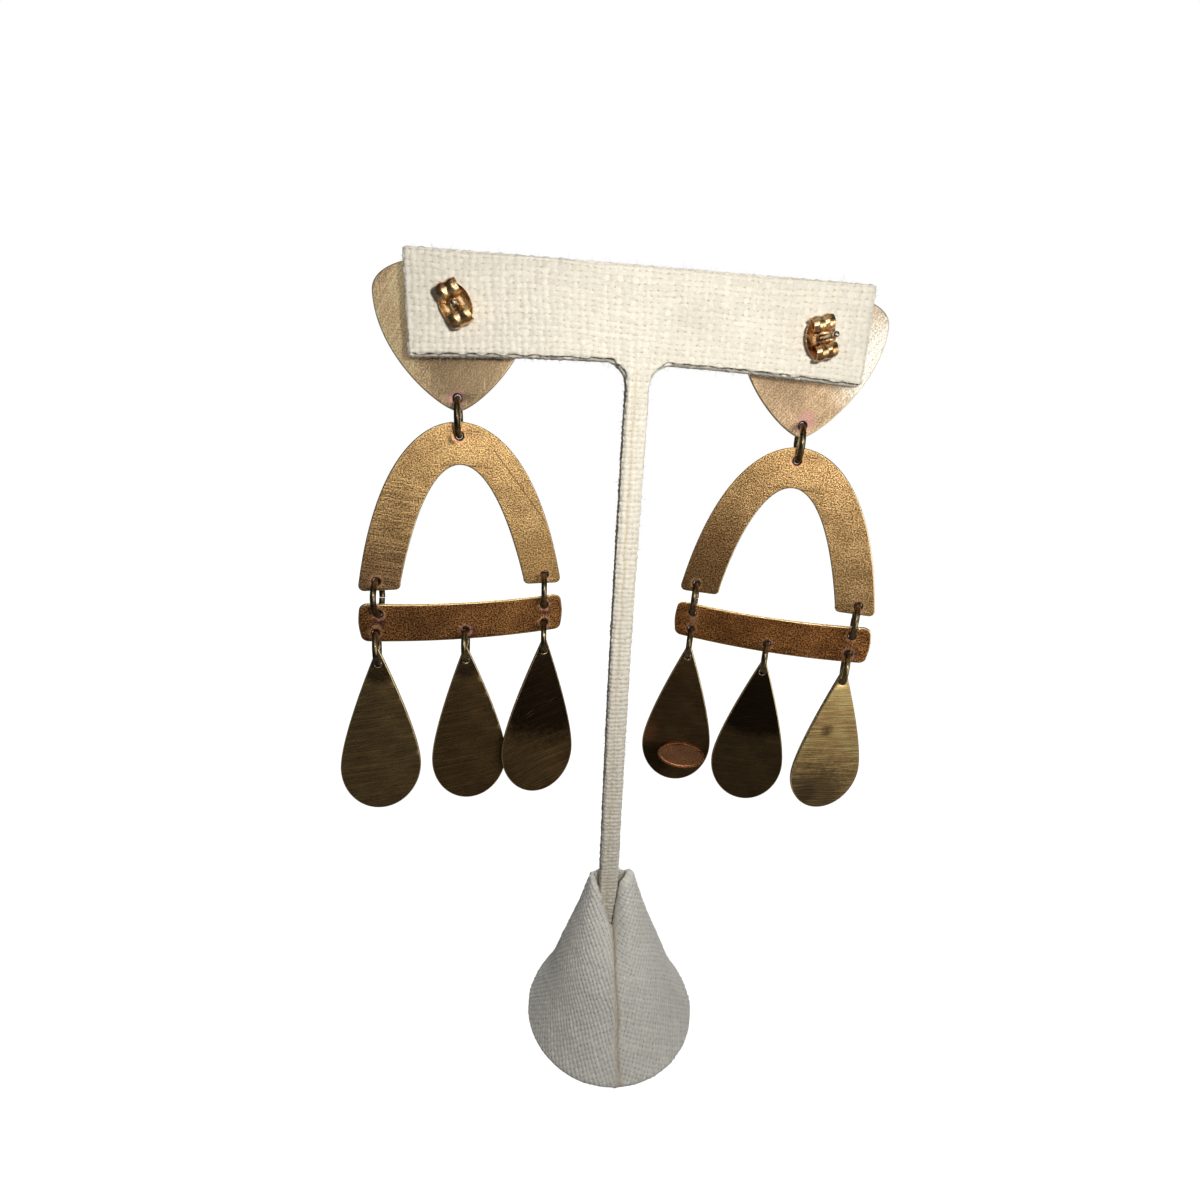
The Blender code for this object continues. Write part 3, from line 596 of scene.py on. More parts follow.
def rolled_tongue():
    """One tongue, lying in X and rolled up towards -Y, with two ribs along it."""
    bpy.ops.object.select_all(action="DESELECT")
    bpy.ops.mesh.primitive_grid_add(
        x_subdivisions=1, y_subdivisions=16, size=1 * MM, rotation=(math.pi / 2, 0, 0)
    )
    tongue = bpy.context.object
    apply_place()
    shape = points_of(tongue)
    across = shape[:, 2] * 2.0
    shape[:, 0] = np.where(shape[:, 0] < 0, 0.75, SCROLL_CENTRE)
    ribs = 0.16 * np.sin(math.pi * across) ** 2
    shape[:, 1] = ribs
    shape[:, 2] = across * STRIP_HALF
    set_points(tongue, shape)
    edit_mode()
    bpy.ops.mesh.select_mode(type="EDGE")
    bpy.ops.mesh.select_all(action="DESELECT")
    object_mode()
    for edge in tongue.data.edges:
        ends = [tongue.data.vertices[i].co.x for i in edge.vertices]
        edge.select = min(ends) > (SCROLL_CENTRE - 0.1) * MM
    edit_mode()
    bpy.ops.mesh.spin(
        steps=26,
        angle=math.radians(-310.0),
        center=(SCROLL_CENTRE * MM, -SCROLL * MM, 0),
        axis=(0, 0, 1),
    )
    object_mode()
    return tongue


tongue = rolled_tongue()
print("tongue:", [round(v / MM, 2) for v in tongue.dimensions])

# %% Dish the base and join a clutch
CLUTCH_HALF_LENGTH, CLUTCH_HALF_WIDTH = 3.15, 2.35
turns = np.linspace(0, 2 * math.pi, 56, endpoint=False)
oval = [(CLUTCH_HALF_LENGTH * math.cos(t), CLUTCH_HALF_WIDTH * math.sin(t)) for t in turns]
base_plate = drawn_sheet("clutch_base", oval, [(0.0, 0.0)], thickness=STRIP, hole_radius=0.62, rim=0.06)
settle(base_plate, UPRIGHT)
edit_mode()
bpy.ops.mesh.select_all(action="SELECT")
for reach, along in ((3.0, Vector((1, 0, 0))), (2.0, Vector((0, 0, 1)))):
    for at in np.arange(-reach, reach + 0.01, 0.5):
        bpy.ops.mesh.bisect(plane_co=along * (at * MM), plane_no=along)
        bpy.ops.mesh.select_all(action="SELECT")
object_mode()
dish = points_of(base_plate)
reach = (dish[:, 0] / CLUTCH_HALF_LENGTH) ** 2 + (dish[:, 2] / CLUTCH_HALF_WIDTH) ** 2
dish[:, 1] -= 0.75 * np.clip(reach - 0.35, 0.0, 1.0) ** 1.3
set_points(base_plate, dish)

other = own_copy(tongue)
settle(other, turned(180.0, "Y"))
pick(tongue, other)
bpy.ops.object.join()
clean(tongue)
wall = tongue.modifiers.new("Strip thickness", "SOLIDIFY")
wall.thickness = STRIP * MM
wall.offset = 0.0
bevel_edges(tongue, "Rolled edges", 0.07, 2, 60.0)
smooth(tongue, 50.0)
smooth(base_plate, 50.0)
settle(tongue, move(0, -0.1, 0))
pick(base_plate, tongue)
bpy.ops.object.join()
clutch_master = base_plate
print("clutch:", [round(v / MM, 2) for v in clutch_master.dimensions])

# %% [markdown]
# ## The cloth-covered T
# The T is a board wrapped in linen with about twelve threads to the centimetre. The board is modelled
# straight: a bevelled block for the crossbar and a stem whose upper end flares into it. Voxel remeshing
# fuses them into one skin of even squares, a quarter of a thread wide, which is fine enough to carry the
# weave as real relief. Only then is the whole T leaned and bowed as the real one is.

# %% Fuse crossbar and stem into one skin
COLUMN = 0.96
ROW = 0.76
SKIN = 0.2
BAR_TOP = 131.6
BAR_HEIGHT = 13.4
BAR_FLOOR = BAR_TOP - BAR_HEIGHT
BOARD_LENGTH = 63.4
BOARD_DEPTH = 3.9
STEM_FOOT = 12.5
STEM_X, STEM_HALF = -0.2, 1.65
FLARE = 3.0
bpy.ops.object.select_all(action="DESELECT")
bpy.ops.mesh.primitive_cube_add(size=1 * MM, location=(0, 0, (BAR_TOP - BAR_HEIGHT / 2) * MM))
board = bpy.context.object
board.name = "linen_tbar"
board.scale = (BOARD_LENGTH, BOARD_DEPTH, BAR_HEIGHT - 0.1)
apply_place()
bevel_edges(board, "Padded edges", 0.6, 4)

bpy.ops.object.select_all(action="DESELECT")
STEM_HEIGHT = BAR_FLOOR - FLARE - STEM_FOOT
stem_middle = (STEM_X * MM, 0, (STEM_FOOT + STEM_HEIGHT / 2) * MM)
bpy.ops.mesh.primitive_cube_add(size=1 * MM, location=stem_middle)
stem = bpy.context.object
stem.scale = (2 * STEM_HALF, BOARD_DEPTH, STEM_HEIGHT)
apply_place()
select_end(stem, (0, 0, 1))
half, level = STEM_HALF, 0.0
for to_bar in (2.5, 2.0, 1.5, 1.0, 0.6, 0.3, 0.1, -1.0):
    flare = FLARE - math.sqrt(FLARE**2 - (FLARE - max(to_bar, 0.0)) ** 2)
    rise = FLARE - to_bar - level
    level += rise
    bpy.ops.mesh.extrude_region_move(TRANSFORM_OT_translate={"value": (0, 0, rise * MM)})
    grow = (STEM_HALF + flare) / half
    half = STEM_HALF + flare
    bpy.ops.transform.resize(value=(grow, 1, 1), center_override=(STEM_X * MM, 0, 0))
object_mode()
bevel_edges(stem, "Padded edges", 0.65, 4, 60.0)
pick(board, stem)
bpy.ops.object.join()
skin = board.modifiers.new("One skin", "REMESH")
skin.mode = "VOXEL"
skin.voxel_size = SKIN * MM
relax = board.modifiers.new("Relax", "SMOOTH")
relax.factor = 0.5
relax.iterations = 3
apply_modifiers(board)
print("T skin:", len(board.data.polygons), "squares")

# %% [markdown]
# ### Weaving it
# In plain weave each thread goes over one and under the next. A thread's height is a rounded ridge times
# a wave along its length, and the cloth shows whichever of warp and weft is higher. The same formula
# runs twice: here it moves the points, and in the linen material it colours threads and gaps. Slow
# noise bends the rows, because hand-glued linen never lies true.


# %% The weave as a height
def soft_noise(points, size, seed):
    """Smooth repeatable noise between -1 and 1 from a few crossing waves."""
    random = np.random.default_rng(seed)
    total = np.zeros(len(points))
    for _ in range(7):
        direction = random.normal(size=points.shape[1])
        direction /= np.linalg.norm(direction)
        wave = random.uniform(0.6, 1.6) / size
        total += np.sin(2 * math.pi * wave * (points @ direction) + random.uniform(0, 2 * math.pi))
    return total / 3.5


CROWN, WAVE, RIDGE = 0.55, 0.4, 0.6
WEFT_LIFT = 0.08
MID_THREAD = 0.72


def weave_height(u, v):
    """Height from 0 in a gap to 1 on a thread's crown, for coordinates in threads."""
    column, row = np.floor(u), np.floor(v)
    ridge_warp = np.abs(np.sin(math.pi * u)) ** RIDGE
    ridge_weft = np.abs(np.sin(math.pi * v)) ** RIDGE
    warp = ridge_warp * (CROWN - WEFT_LIFT + WAVE * np.cos(math.pi * (v - 0.5 + column)))
    weft = ridge_weft * (CROWN + WEFT_LIFT - WAVE * np.cos(math.pi * (u - 0.5 + row)))
    return np.maximum(warp, weft)


def normals_of(obj):
    """The mesh's point normals as an array."""
    flat = np.empty(len(obj.data.vertices) * 3)
    obj.data.vertices.foreach_get("normal", flat)
    return flat.reshape(-1, 3)


cloth = points_of(board)
facing = normals_of(board)
plane = facing[:, [0, 2]] / np.maximum(np.linalg.norm(facing[:, [0, 2]], axis=1), 1e-6)[:, None]
wrap = np.maximum(BOARD_DEPTH / 2 - np.abs(cloth[:, 1]), 0.0)
u = (cloth[:, 0] + plane[:, 0] * wrap) / COLUMN
v = (cloth[:, 2] + plane[:, 1] * wrap) / ROW
sway = np.stack([soft_noise(cloth, 28.0, 3), soft_noise(cloth, 23.0, 5)], axis=1)
u = u + 0.4 * sway[:, 0] + 0.16 * soft_noise(cloth, 4.0, 7) + 0.1 * soft_noise(cloth, 1.7, 8)
v = v + 0.4 * sway[:, 1] + 0.16 * soft_noise(cloth, 5.0, 9) + 0.1 * soft_noise(cloth, 1.9, 10)
threads = weave_height(u, v)
relief = 0.2 * (threads - MID_THREAD) * (1.0 + 0.5 * soft_noise(cloth, 3.1, 12))
relief += 0.05 * soft_noise(cloth, 1.6, 11)

# %% [markdown]
# ### Seams of the T
# The cloth meets itself in two places. Along the crossbar's floor its edges butt in a ragged slit, and
# down the back of the stem one edge laps over the other and leaves a yellowish line of glue. Both are
# pressed into the relief, and a mask remembers each for the material; the slit's mask also paints
# shade into its groove.

# %% Press the seams in, then lean and bow the T
under_bar = (facing[:, 2] < -0.3) & (cloth[:, 2] > BAR_FLOOR - 4.0)
slit_y = -1.6 + 0.3 * soft_noise(cloth[:, :1], 3.0, 13)
slit_and_shade = np.exp(-(((cloth[:, 1] - slit_y) / 0.34) ** 2)) * under_bar
lap_x = -0.6 + 0.1 * soft_noise(cloth[:, 2:], 9.0, 15)
on_stem = (cloth[:, 1] < -1.5) & (cloth[:, 2] < BAR_FLOOR - 1.0)
lap = np.exp(-(((cloth[:, 0] - lap_x) / 0.16) ** 2)) * on_stem
lapped = 0.1 / (1 + np.exp((cloth[:, 0] - lap_x) / 0.06)) * on_stem
relief += lapped - 0.3 * slit_and_shade - 0.14 * lap
cloth = cloth + facing * relief[:, None]

HALF_BAR = 31.8
BAR_LEAN = -1.6
BAR_BOW = 1.2
to_floor = np.clip((BAR_TOP - cloth[:, 2]) / BAR_HEIGHT, 0.0, 1.0)
down_stem = np.clip((BAR_FLOOR - cloth[:, 2]) / 60.0, 0.0, 1.0)
waist = BAR_BOW * (1.0 - (cloth[:, 0] / HALF_BAR) ** 2) * to_floor * (1.0 - down_stem)
lean = math.tan(math.radians(BAR_LEAN)) * cloth[:, 0] * (1.0 - down_stem)
share = np.clip((cloth[:, 2] - STEM_FOOT) / (BAR_TOP - BAR_HEIGHT / 2 - STEM_FOOT), 0.0, 1.0)
bow = (-0.9 * (1.0 - share) - 0.4 * np.sin(math.pi * share)) * (cloth[:, 2] < BAR_FLOOR + 2.0)
bow *= np.clip((BAR_FLOOR + 2.0 - cloth[:, 2]) / 4.0, 0.0, 1.0)
cloth[:, 0] += bow
cloth[:, 2] += waist + lean
set_points(board, cloth)
point_uv(board, "weave", np.stack([u, v], axis=1))
point_mask(board, "slit_and_shade", np.clip(slit_and_shade, 0, 1))
point_mask(board, "glue", np.clip(lap, 0, 1))
smooth(board, 180.0)
print("T:", [round(v_ / MM, 1) for v_ in board.dimensions])

# %% [markdown]
# ## The cloth-covered base
# The base is a weighted cone in a wrapped skirt of linen. Its side is slightly hollow, its lower edge is
# rounded, and at the top the cloth stands around the stem in two petals with a V between them at the
# back. A profile is drawn once and spun; the petals, the V and the seam are then pulled into the skin.

# %% Spin the cone's profile
BASE_TOP = 31.2
BASE_SPIN = 480
CONE_RADIUS = 16.75
CONE_APEX = 39.4
SOCKET_FLOOR = 12.2
HOLLOW = 2.4
LOW_HOLLOW, LOW_HOLLOW_AT, LOW_HOLLOW_REACH = 0.6, 7.5, 6.0


def cone_radius(height):
    """Radius of the cone's hollow side at a height."""
    part = height / BASE_TOP
    hollow = HOLLOW * part * (1.0 - part)
    hollow += LOW_HOLLOW * math.exp(-(((height - LOW_HOLLOW_AT) / LOW_HOLLOW_REACH) ** 2))
    return CONE_RADIUS * (1.0 - height / CONE_APEX) - hollow


profile = [(0.0, 0.0), (6.0, 0.0), (12.0, 0.0), (14.8, 0.0)]
profile += [(15.35, 0.06), (15.75, 0.28), (15.97, 0.65)]
profile += [(cone_radius(h), h) for h in np.linspace(1.1, BASE_TOP - 0.25, 142)]
wall = cone_radius(BASE_TOP)
profile += [(wall - 0.1, BASE_TOP - 0.05), (wall - 0.3, BASE_TOP), (wall - 0.52, BASE_TOP - 0.12)]
profile += [(wall - 0.62, h) for h in np.linspace(BASE_TOP - 0.5, 21.0, 22)]
profile += [(wall - 0.7, 14.0), (wall - 0.8, SOCKET_FLOOR), (0.0, SOCKET_FLOOR)]
bpy.ops.object.select_all(action="DESELECT")
bpy.ops.curve.primitive_bezier_curve_add(radius=1 * MM)
base = bpy.context.object
base.name = "linen_base"
base.data.splines.clear()
line = base.data.splines.new("POLY")
line.points.add(len(profile) - 1)
for knot, (x, z) in zip(line.points, profile):
    knot.co = (x * MM, 0, z * MM, 1)
bpy.ops.object.convert(target="MESH")
base = bpy.context.object
edit_mode()
bpy.ops.mesh.select_all(action="SELECT")
bpy.ops.mesh.spin(steps=BASE_SPIN, angle=2 * math.pi, center=(0, 0, 0), axis=(0, 0, 1))
object_mode()
clean(base)
print("base:", len(base.data.polygons), "faces")

# %% [markdown]
# ### Petals, seam and weave of the base
# A flat cloth around a cone keeps its threads straight only when the cone is rolled out, so the weave
# takes its coordinates from the rolled-out sheet: at the front the threads stand upright, and towards
# the seam at the back they come in aslant from both sides.

# %% Shape the skirt
skirt = points_of(base)
facing = normals_of(base)
THREAD = 0.72
ROLLED_RADIUS = 16.6
PETALS_FROM = 12.5
# Rows of (degrees from the front, height above or below BASE_TOP).
PETALS = [
    (-180, -8.5), (-172, -7.6), (-160, -5.2), (-145, -2.4), (-128, -0.2), (-108, 0.6), (-85, 0.6),
    (-60, -0.6), (0, -1.6), (60, -0.6), (80, 0.8), (100, 1.3), (120, 1.5), (136, 1.3), (148, 0.5),
    (158, -1.2), (171, -5.5), (180, -8.5),
]
around = np.arctan2(skirt[:, 0], skirt[:, 1])
rim_height = np.interp(np.degrees(around), *zip(*PETALS))
top_share = np.clip((skirt[:, 2] - PETALS_FROM) / (BASE_TOP - PETALS_FROM), 0.0, 1.0)
radius = np.hypot(skirt[:, 0], skirt[:, 1])
skirt[:, 2] += rim_height * top_share**1.5
padding = 0.3 * np.exp(-(((np.degrees(around) - 118.0) / 42.0) ** 2))
padding += 0.14 * np.exp(-(((np.degrees(around) + 125.0) / 30.0) ** 2))
outside = np.clip((radius - wall + 0.62) / 0.62, 0.0, 1.0)
skirt[:, :2] *= (1.0 + padding * outside * top_share**3)[:, None]
slope = math.atan(ROLLED_RADIUS / CONE_APEX)
along = (CONE_APEX - skirt[:, 2]) / math.cos(slope)
roll = around * math.sin(slope)
u = along * np.sin(roll) / THREAD
v = along * np.cos(roll) / THREAD
u = u + 0.3 * soft_noise(skirt, 18.0, 21) + 0.14 * soft_noise(skirt, 4.0, 23)
v = v + 0.3 * soft_noise(skirt, 16.0, 25) + 0.14 * soft_noise(skirt, 5.0, 27)
threads = weave_height(u, v)
off_floor = np.clip((skirt[:, 2] - 0.1) / 0.6, 0.0, 1.0)
relief = 0.24 * (threads - MID_THREAD) + 0.06 * soft_noise(skirt, 2.4, 29)
from_seam = skirt[:, 0] - 0.5 * (1.0 - skirt[:, 2] / BASE_TOP) + 0.14 * soft_noise(skirt[:, 2:], 12.0, 31)
at_back = (skirt[:, 1] < -1.0) & (radius > wall - 0.2) & (facing[:, 2] > -0.5)
lip = np.exp(-(((from_seam + 0.75) / 0.55) ** 2))
valley = np.exp(-((from_seam / 0.16) ** 2)) * at_back
calm = np.exp(-(((from_seam + 0.4) / 0.75) ** 2)) * at_back
relief = (relief * (1.0 - 0.7 * calm) + 0.14 * lip * at_back - 0.3 * valley) * off_floor
skirt = skirt + facing * relief[:, None]
to_top = skirt[:, 2] / BASE_TOP
skirt[:, 0] += 0.1 * (1.0 - to_top) - 0.9 * to_top**2
skirt[:, 1] -= 0.6 * (1.0 - to_top)
set_points(base, skirt)
point_uv(base, "weave", np.stack([u, v], axis=1))
# The seam's valley is painted dark: painted shade in the crease.
point_mask(base, "slit_and_shade", np.clip(valley, 0, 1) * 0.62)
glue = np.exp(-(((from_seam + 0.05) / 0.42) ** 2)) * at_back
point_mask(base, "glue", np.clip(glue, 0, 1) * 0.85)
smooth(base, 180.0)
print("skirt:", [round(v_ / MM, 1) for v_ in base.dimensions])

# %% [markdown]
# ## Loose fibres
# Linen is hairy. Short bent fibres stand out of the cut edges and catch the light against the white
# ground. One fibre is a thin three-sided tube bent twice. Some 1600 of them make one mesh, all placed by
# a seeded generator so that every run is the same.

# %% Scatter fibres on the edges of the cloth
random = np.random.default_rng(41)


def fibre_mesh(anchors, outward, length):
    """One mesh of bent tapering fibres that start at the given points."""
    verts, faces = [], []
    for anchor, out in zip(anchors, outward):
        drift = random.normal(size=3) * 0.55
        bend = random.normal(size=3) * 0.5
        reach = length * random.uniform(0.4, 1.3)
        start = len(verts)
        for step in range(4):
            part = step / 3
            spine = anchor + (out + drift * 0.6) * reach * part + bend * reach * part**2 * 0.5
            thick = 0.022 * (1.0 - 0.6 * part)
            for k in range(3):
                turn = 2 * math.pi * k / 3
                round_it = np.array([math.cos(turn), math.sin(turn) * 0.7, math.sin(turn)])
                verts.append(spine + thick * round_it)
        for step in range(3):
            for k in range(3):
                a, b = start + 3 * step + k, start + 3 * step + (k + 1) % 3
                faces.append((a, b, b + 3, a + 3))
        faces.append((start + 2, start + 1, start))
        faces.append((start + 9, start + 10, start + 11))
    mesh = bpy.data.meshes.new("fibres")
    mesh.from_pydata([tuple(point * MM) for point in verts], [], faces)
    obj = bpy.data.objects.new("linen_fibres", mesh)
    bpy.context.scene.collection.objects.link(obj)
    return obj


board_points, board_normals = points_of(board), normals_of(board)
edge_zone = (np.abs(board_normals[:, 1]) < 0.8) & (board_points[:, 2] > 32.0)
frayed_zone = edge_zone & (board_normals[:, 2] < -0.3) & (board_points[:, 1] < -1.0)
base_points, base_normals = points_of(base), normals_of(base)
rim_zone = (base_points[:, 2] > 21.0) & (base_normals[:, 2] > 0.5)
anchors, outward = [], []
for points, normals, zone, count in (
    (board_points, board_normals, edge_zone, 1100),
    (board_points, board_normals, frayed_zone, 400),
    (base_points, base_normals, rim_zone, 90),
):
    chosen = random.choice(np.flatnonzero(zone), count, replace=False)
    anchors.append(points[chosen])
    outward.append(normals[chosen])
anchors, outward = np.concatenate(anchors), np.concatenate(outward)
fibres = fibre_mesh(anchors - outward * 0.05, outward, 0.5)
smooth(fibres, 180.0)
print("fibres:", len(anchors))

# %% [markdown]
# # Finishes
# Every finish is built from a few shared node groups that put out only masks, heights and colours. The
# shader itself stays in each material, with its own colours and strengths.


# %% Node helpers
class Nodes:
    """A short hand for adding and wiring nodes in one tree."""

    def __init__(self, tree):
        self.tree = tree

    def add(self, kind, **settings):
        """Add a node and set its properties."""
        node = self.tree.nodes.new(kind)
        for key, value in settings.items():
            setattr(node, key, value)
        return node

    def wire(self, source, target):
        """Join two sockets, or set a socket's value."""
        if isinstance(source, bpy.types.NodeSocket):
            self.tree.links.new(source, target)
        else:
            target.default_value = source

    def math(self, operation, first, second=0.0, clamp=False):
        """A Math node's result."""
        node = self.add("ShaderNodeMath", operation=operation, use_clamp=clamp)
        self.wire(first, node.inputs[0])
        self.wire(second, node.inputs[1])
        return node.outputs[0]

    def plus(self, first, second, clamp=False):
        """The sum of two values."""
        return self.math("ADD", first, second, clamp)

    def minus(self, first, second):
        """The first value less the second."""
        return self.math("SUBTRACT", first, second)

    def times(self, first, second):
        """The product of two values."""
        return self.math("MULTIPLY", first, second)

    def rest(self, value):
        """What a share leaves of 1."""
        return self.minus(1.0, value)

    def vector(self, operation, first, second):
        """A Vector Math node's result."""
        node = self.add("ShaderNodeVectorMath", operation=operation)
        self.wire(first, node.inputs[0])
        self.wire(second, node.inputs[1])
        return node.outputs["Value" if operation == "DISTANCE" else "Vector"]

    def mask(self, name):
        """A value that is kept per point of the mesh."""
        return self.add("ShaderNodeAttribute", attribute_name=name).outputs["Fac"]

    def ramp(self, value, low, high):
        """0 below low, 1 above high, smooth between."""
        node = self.add("ShaderNodeMapRange", interpolation_type="SMOOTHSTEP")
        self.wire(value, node.inputs["Value"])
        self.wire(low, node.inputs["From Min"])
        self.wire(high, node.inputs["From Max"])
        return node.outputs["Result"]

    def mix(self, share, first, second, blend="MIX"):
        """Mix two colours by a share."""
        node = self.add("ShaderNodeMix", data_type="RGBA", blend_type=blend)
        self.wire(share, node.inputs[0])
        self.wire(first, node.inputs[6])
        self.wire(second, node.inputs[7])
        return node.outputs[2]

    def noise(self, vector, scale, detail=2.0, roughness=0.5):
        """A noise texture's value."""
        node = self.add("ShaderNodeTexNoise")
        self.wire(vector, node.inputs["Vector"])
        self.wire(scale, node.inputs["Scale"])
        node.inputs["Detail"].default_value = detail
        node.inputs["Roughness"].default_value = roughness
        return node.outputs["Fac"]

    def scaled(self, vector, x, y, z=1.0):
        """A vector stretched along its axes."""
        return self.vector("MULTIPLY", vector, (x, y, z))


def new_group(name, inputs, outputs):
    """An empty shader group with named sockets; gives its tree, its inputs and its outputs."""
    tree = bpy.data.node_groups.new(name, "ShaderNodeTree")
    for label, kind, value in inputs:
        socket = tree.interface.new_socket(name=label, in_out="INPUT", socket_type=f"NodeSocket{kind}")
        if value is not None:
            socket.default_value = value
    for label, kind in outputs:
        tree.interface.new_socket(name=label, in_out="OUTPUT", socket_type=f"NodeSocket{kind}")
    nodes = Nodes(tree)
    return nodes, nodes.add("NodeGroupInput").outputs, nodes.add("NodeGroupOutput").inputs


def use_group(nodes, tree, **values):
    """Place a group in a material with its own values."""
    node = nodes.add("ShaderNodeGroup", node_tree=tree)
    for label, value in values.items():
        nodes.wire(value, node.inputs[label.replace("_", " ")])
    return node.outputs


def new_material(name):
    """A material, with its nodes and its shader."""
    made = bpy.data.materials.new(name)
    made.use_nodes = True
    return made, Nodes(made.node_tree), made.node_tree.nodes["Principled BSDF"]


def raise_surface(nodes, shader, height, strength, distance):
    """Add a bump of a height, with its distance in millimetres."""
    bump = nodes.add("ShaderNodeBump")
    nodes.wire(height, bump.inputs["Height"])
    bump.inputs["Strength"].default_value = strength
    bump.inputs["Distance"].default_value = distance * MM
    nodes.wire(bump.outputs["Normal"], shader.inputs["Normal"])


# %% [markdown]
# ### Brushed sheet
# Emery leaves fine parallel lines, and a sanded sheet also has a sandy grain and a few long scratches.
# All three are noises: one stretched hard along the stroke, one even, and one stretched and cut off so
# that only its peaks remain. Lines are turned by an angle, because each piece was rubbed its own way.

# %% Group: brushed sheet
nodes, given, out = new_group(
    "brushed_sheet",
    [("Vector", "Vector", None), ("Angle", "Float", 0.0), ("Cross", "Float", 0.25)],
    [("Lines", "Float"), ("Grain", "Float"), ("Scratches", "Float"), ("Cloud", "Float")],
)


def turned_by(angle):
    """The sheet's coordinates, turned so that X runs along the strokes."""
    node = nodes.add("ShaderNodeVectorRotate", rotation_type="Z_AXIS")
    nodes.wire(given["Vector"], node.inputs["Vector"])
    nodes.wire(nodes.times(angle, -1.0), node.inputs["Angle"])
    return node.outputs[0]


first = turned_by(given["Angle"])
second = turned_by(nodes.plus(given["Angle"], given["Cross"]))
fine = nodes.noise(nodes.scaled(first, 0.1, 4.6), 1.0, 2.0, 0.7)
crossing = nodes.noise(nodes.scaled(second, 0.16, 5.6), 1.0, 2.0, 0.7)
both = nodes.plus(nodes.times(fine, 0.65), nodes.times(crossing, 0.35))
nodes.wire(both, out["Lines"])
nodes.wire(nodes.noise(given["Vector"], 4.4, 1.0, 0.6), out["Grain"])
peaks = nodes.noise(nodes.scaled(second, 0.12, 2.6), 1.3, 1.0)
nodes.wire(nodes.ramp(peaks, 0.7, 0.76), out["Scratches"])
nodes.wire(nodes.noise(given["Vector"], 0.2, 3.0, 0.6), out["Cloud"])
BRUSHED = nodes.tree

# %% [markdown]
# ### Stains, dirt and painted shading
# Soldering heat and old fingers leave stains round the holes. The same spots also lay painted shade and
# painted highlight on the sheets. A spot is a distance to a point on the sheet, roughened by noise, so
# that its border is never a clean circle.

# %% Group: spot on a sheet
nodes, given, out = new_group(
    "spot",
    [
        ("Vector", "Vector", None),
        ("Centre", "Vector", (0, 0, 0)),
        ("Radius", "Float", 2.0),
        ("Softness", "Float", 1.0),
    ],
    [("Mask", "Float")],
)
away = nodes.vector("DISTANCE", given["Vector"], given["Centre"])
uneven = nodes.minus(nodes.noise(given["Vector"], 1.1, 4.0, 0.65), 0.5)
ragged = nodes.times(uneven, 2.2)
edge = nodes.plus(away, nodes.times(ragged, given["Softness"]))
inner = nodes.minus(given["Radius"], given["Softness"])
outer = nodes.plus(given["Radius"], given["Softness"])
nodes.wire(nodes.rest(nodes.ramp(edge, inner, outer)), out["Mask"])
SPOT = nodes.tree

# %% [markdown]
# ### Sheet brass
# One recipe dresses all flat pieces: a base tone with clouds of tarnish, spots of painted shade and
# painted highlight, bright strokes where the lines stand up, stains at the holes with painted shade inside
# the holes, and rims that are partly rubbed gold and partly a painted glint. Each piece gives its own
# colours, stroke angle, painted shading and stains, so no two backs look alike.


# %% Recipe: sheet brass
# Gold of rubbed rims, laid on every rim at half strength or more as a painted glint.
RUBBED_RIM_AND_GLINT = (1.0, 0.80, 0.46)
# Near black: soot in some stains, and painted shade in and around the holes.
SOOT_AND_SHADE = (0.035, 0.022, 0.015)
PINK = (0.62, 0.33, 0.29)
COPPER = (0.85, 0.45, 0.24)
VIOLET = (0.12, 0.04, 0.06)


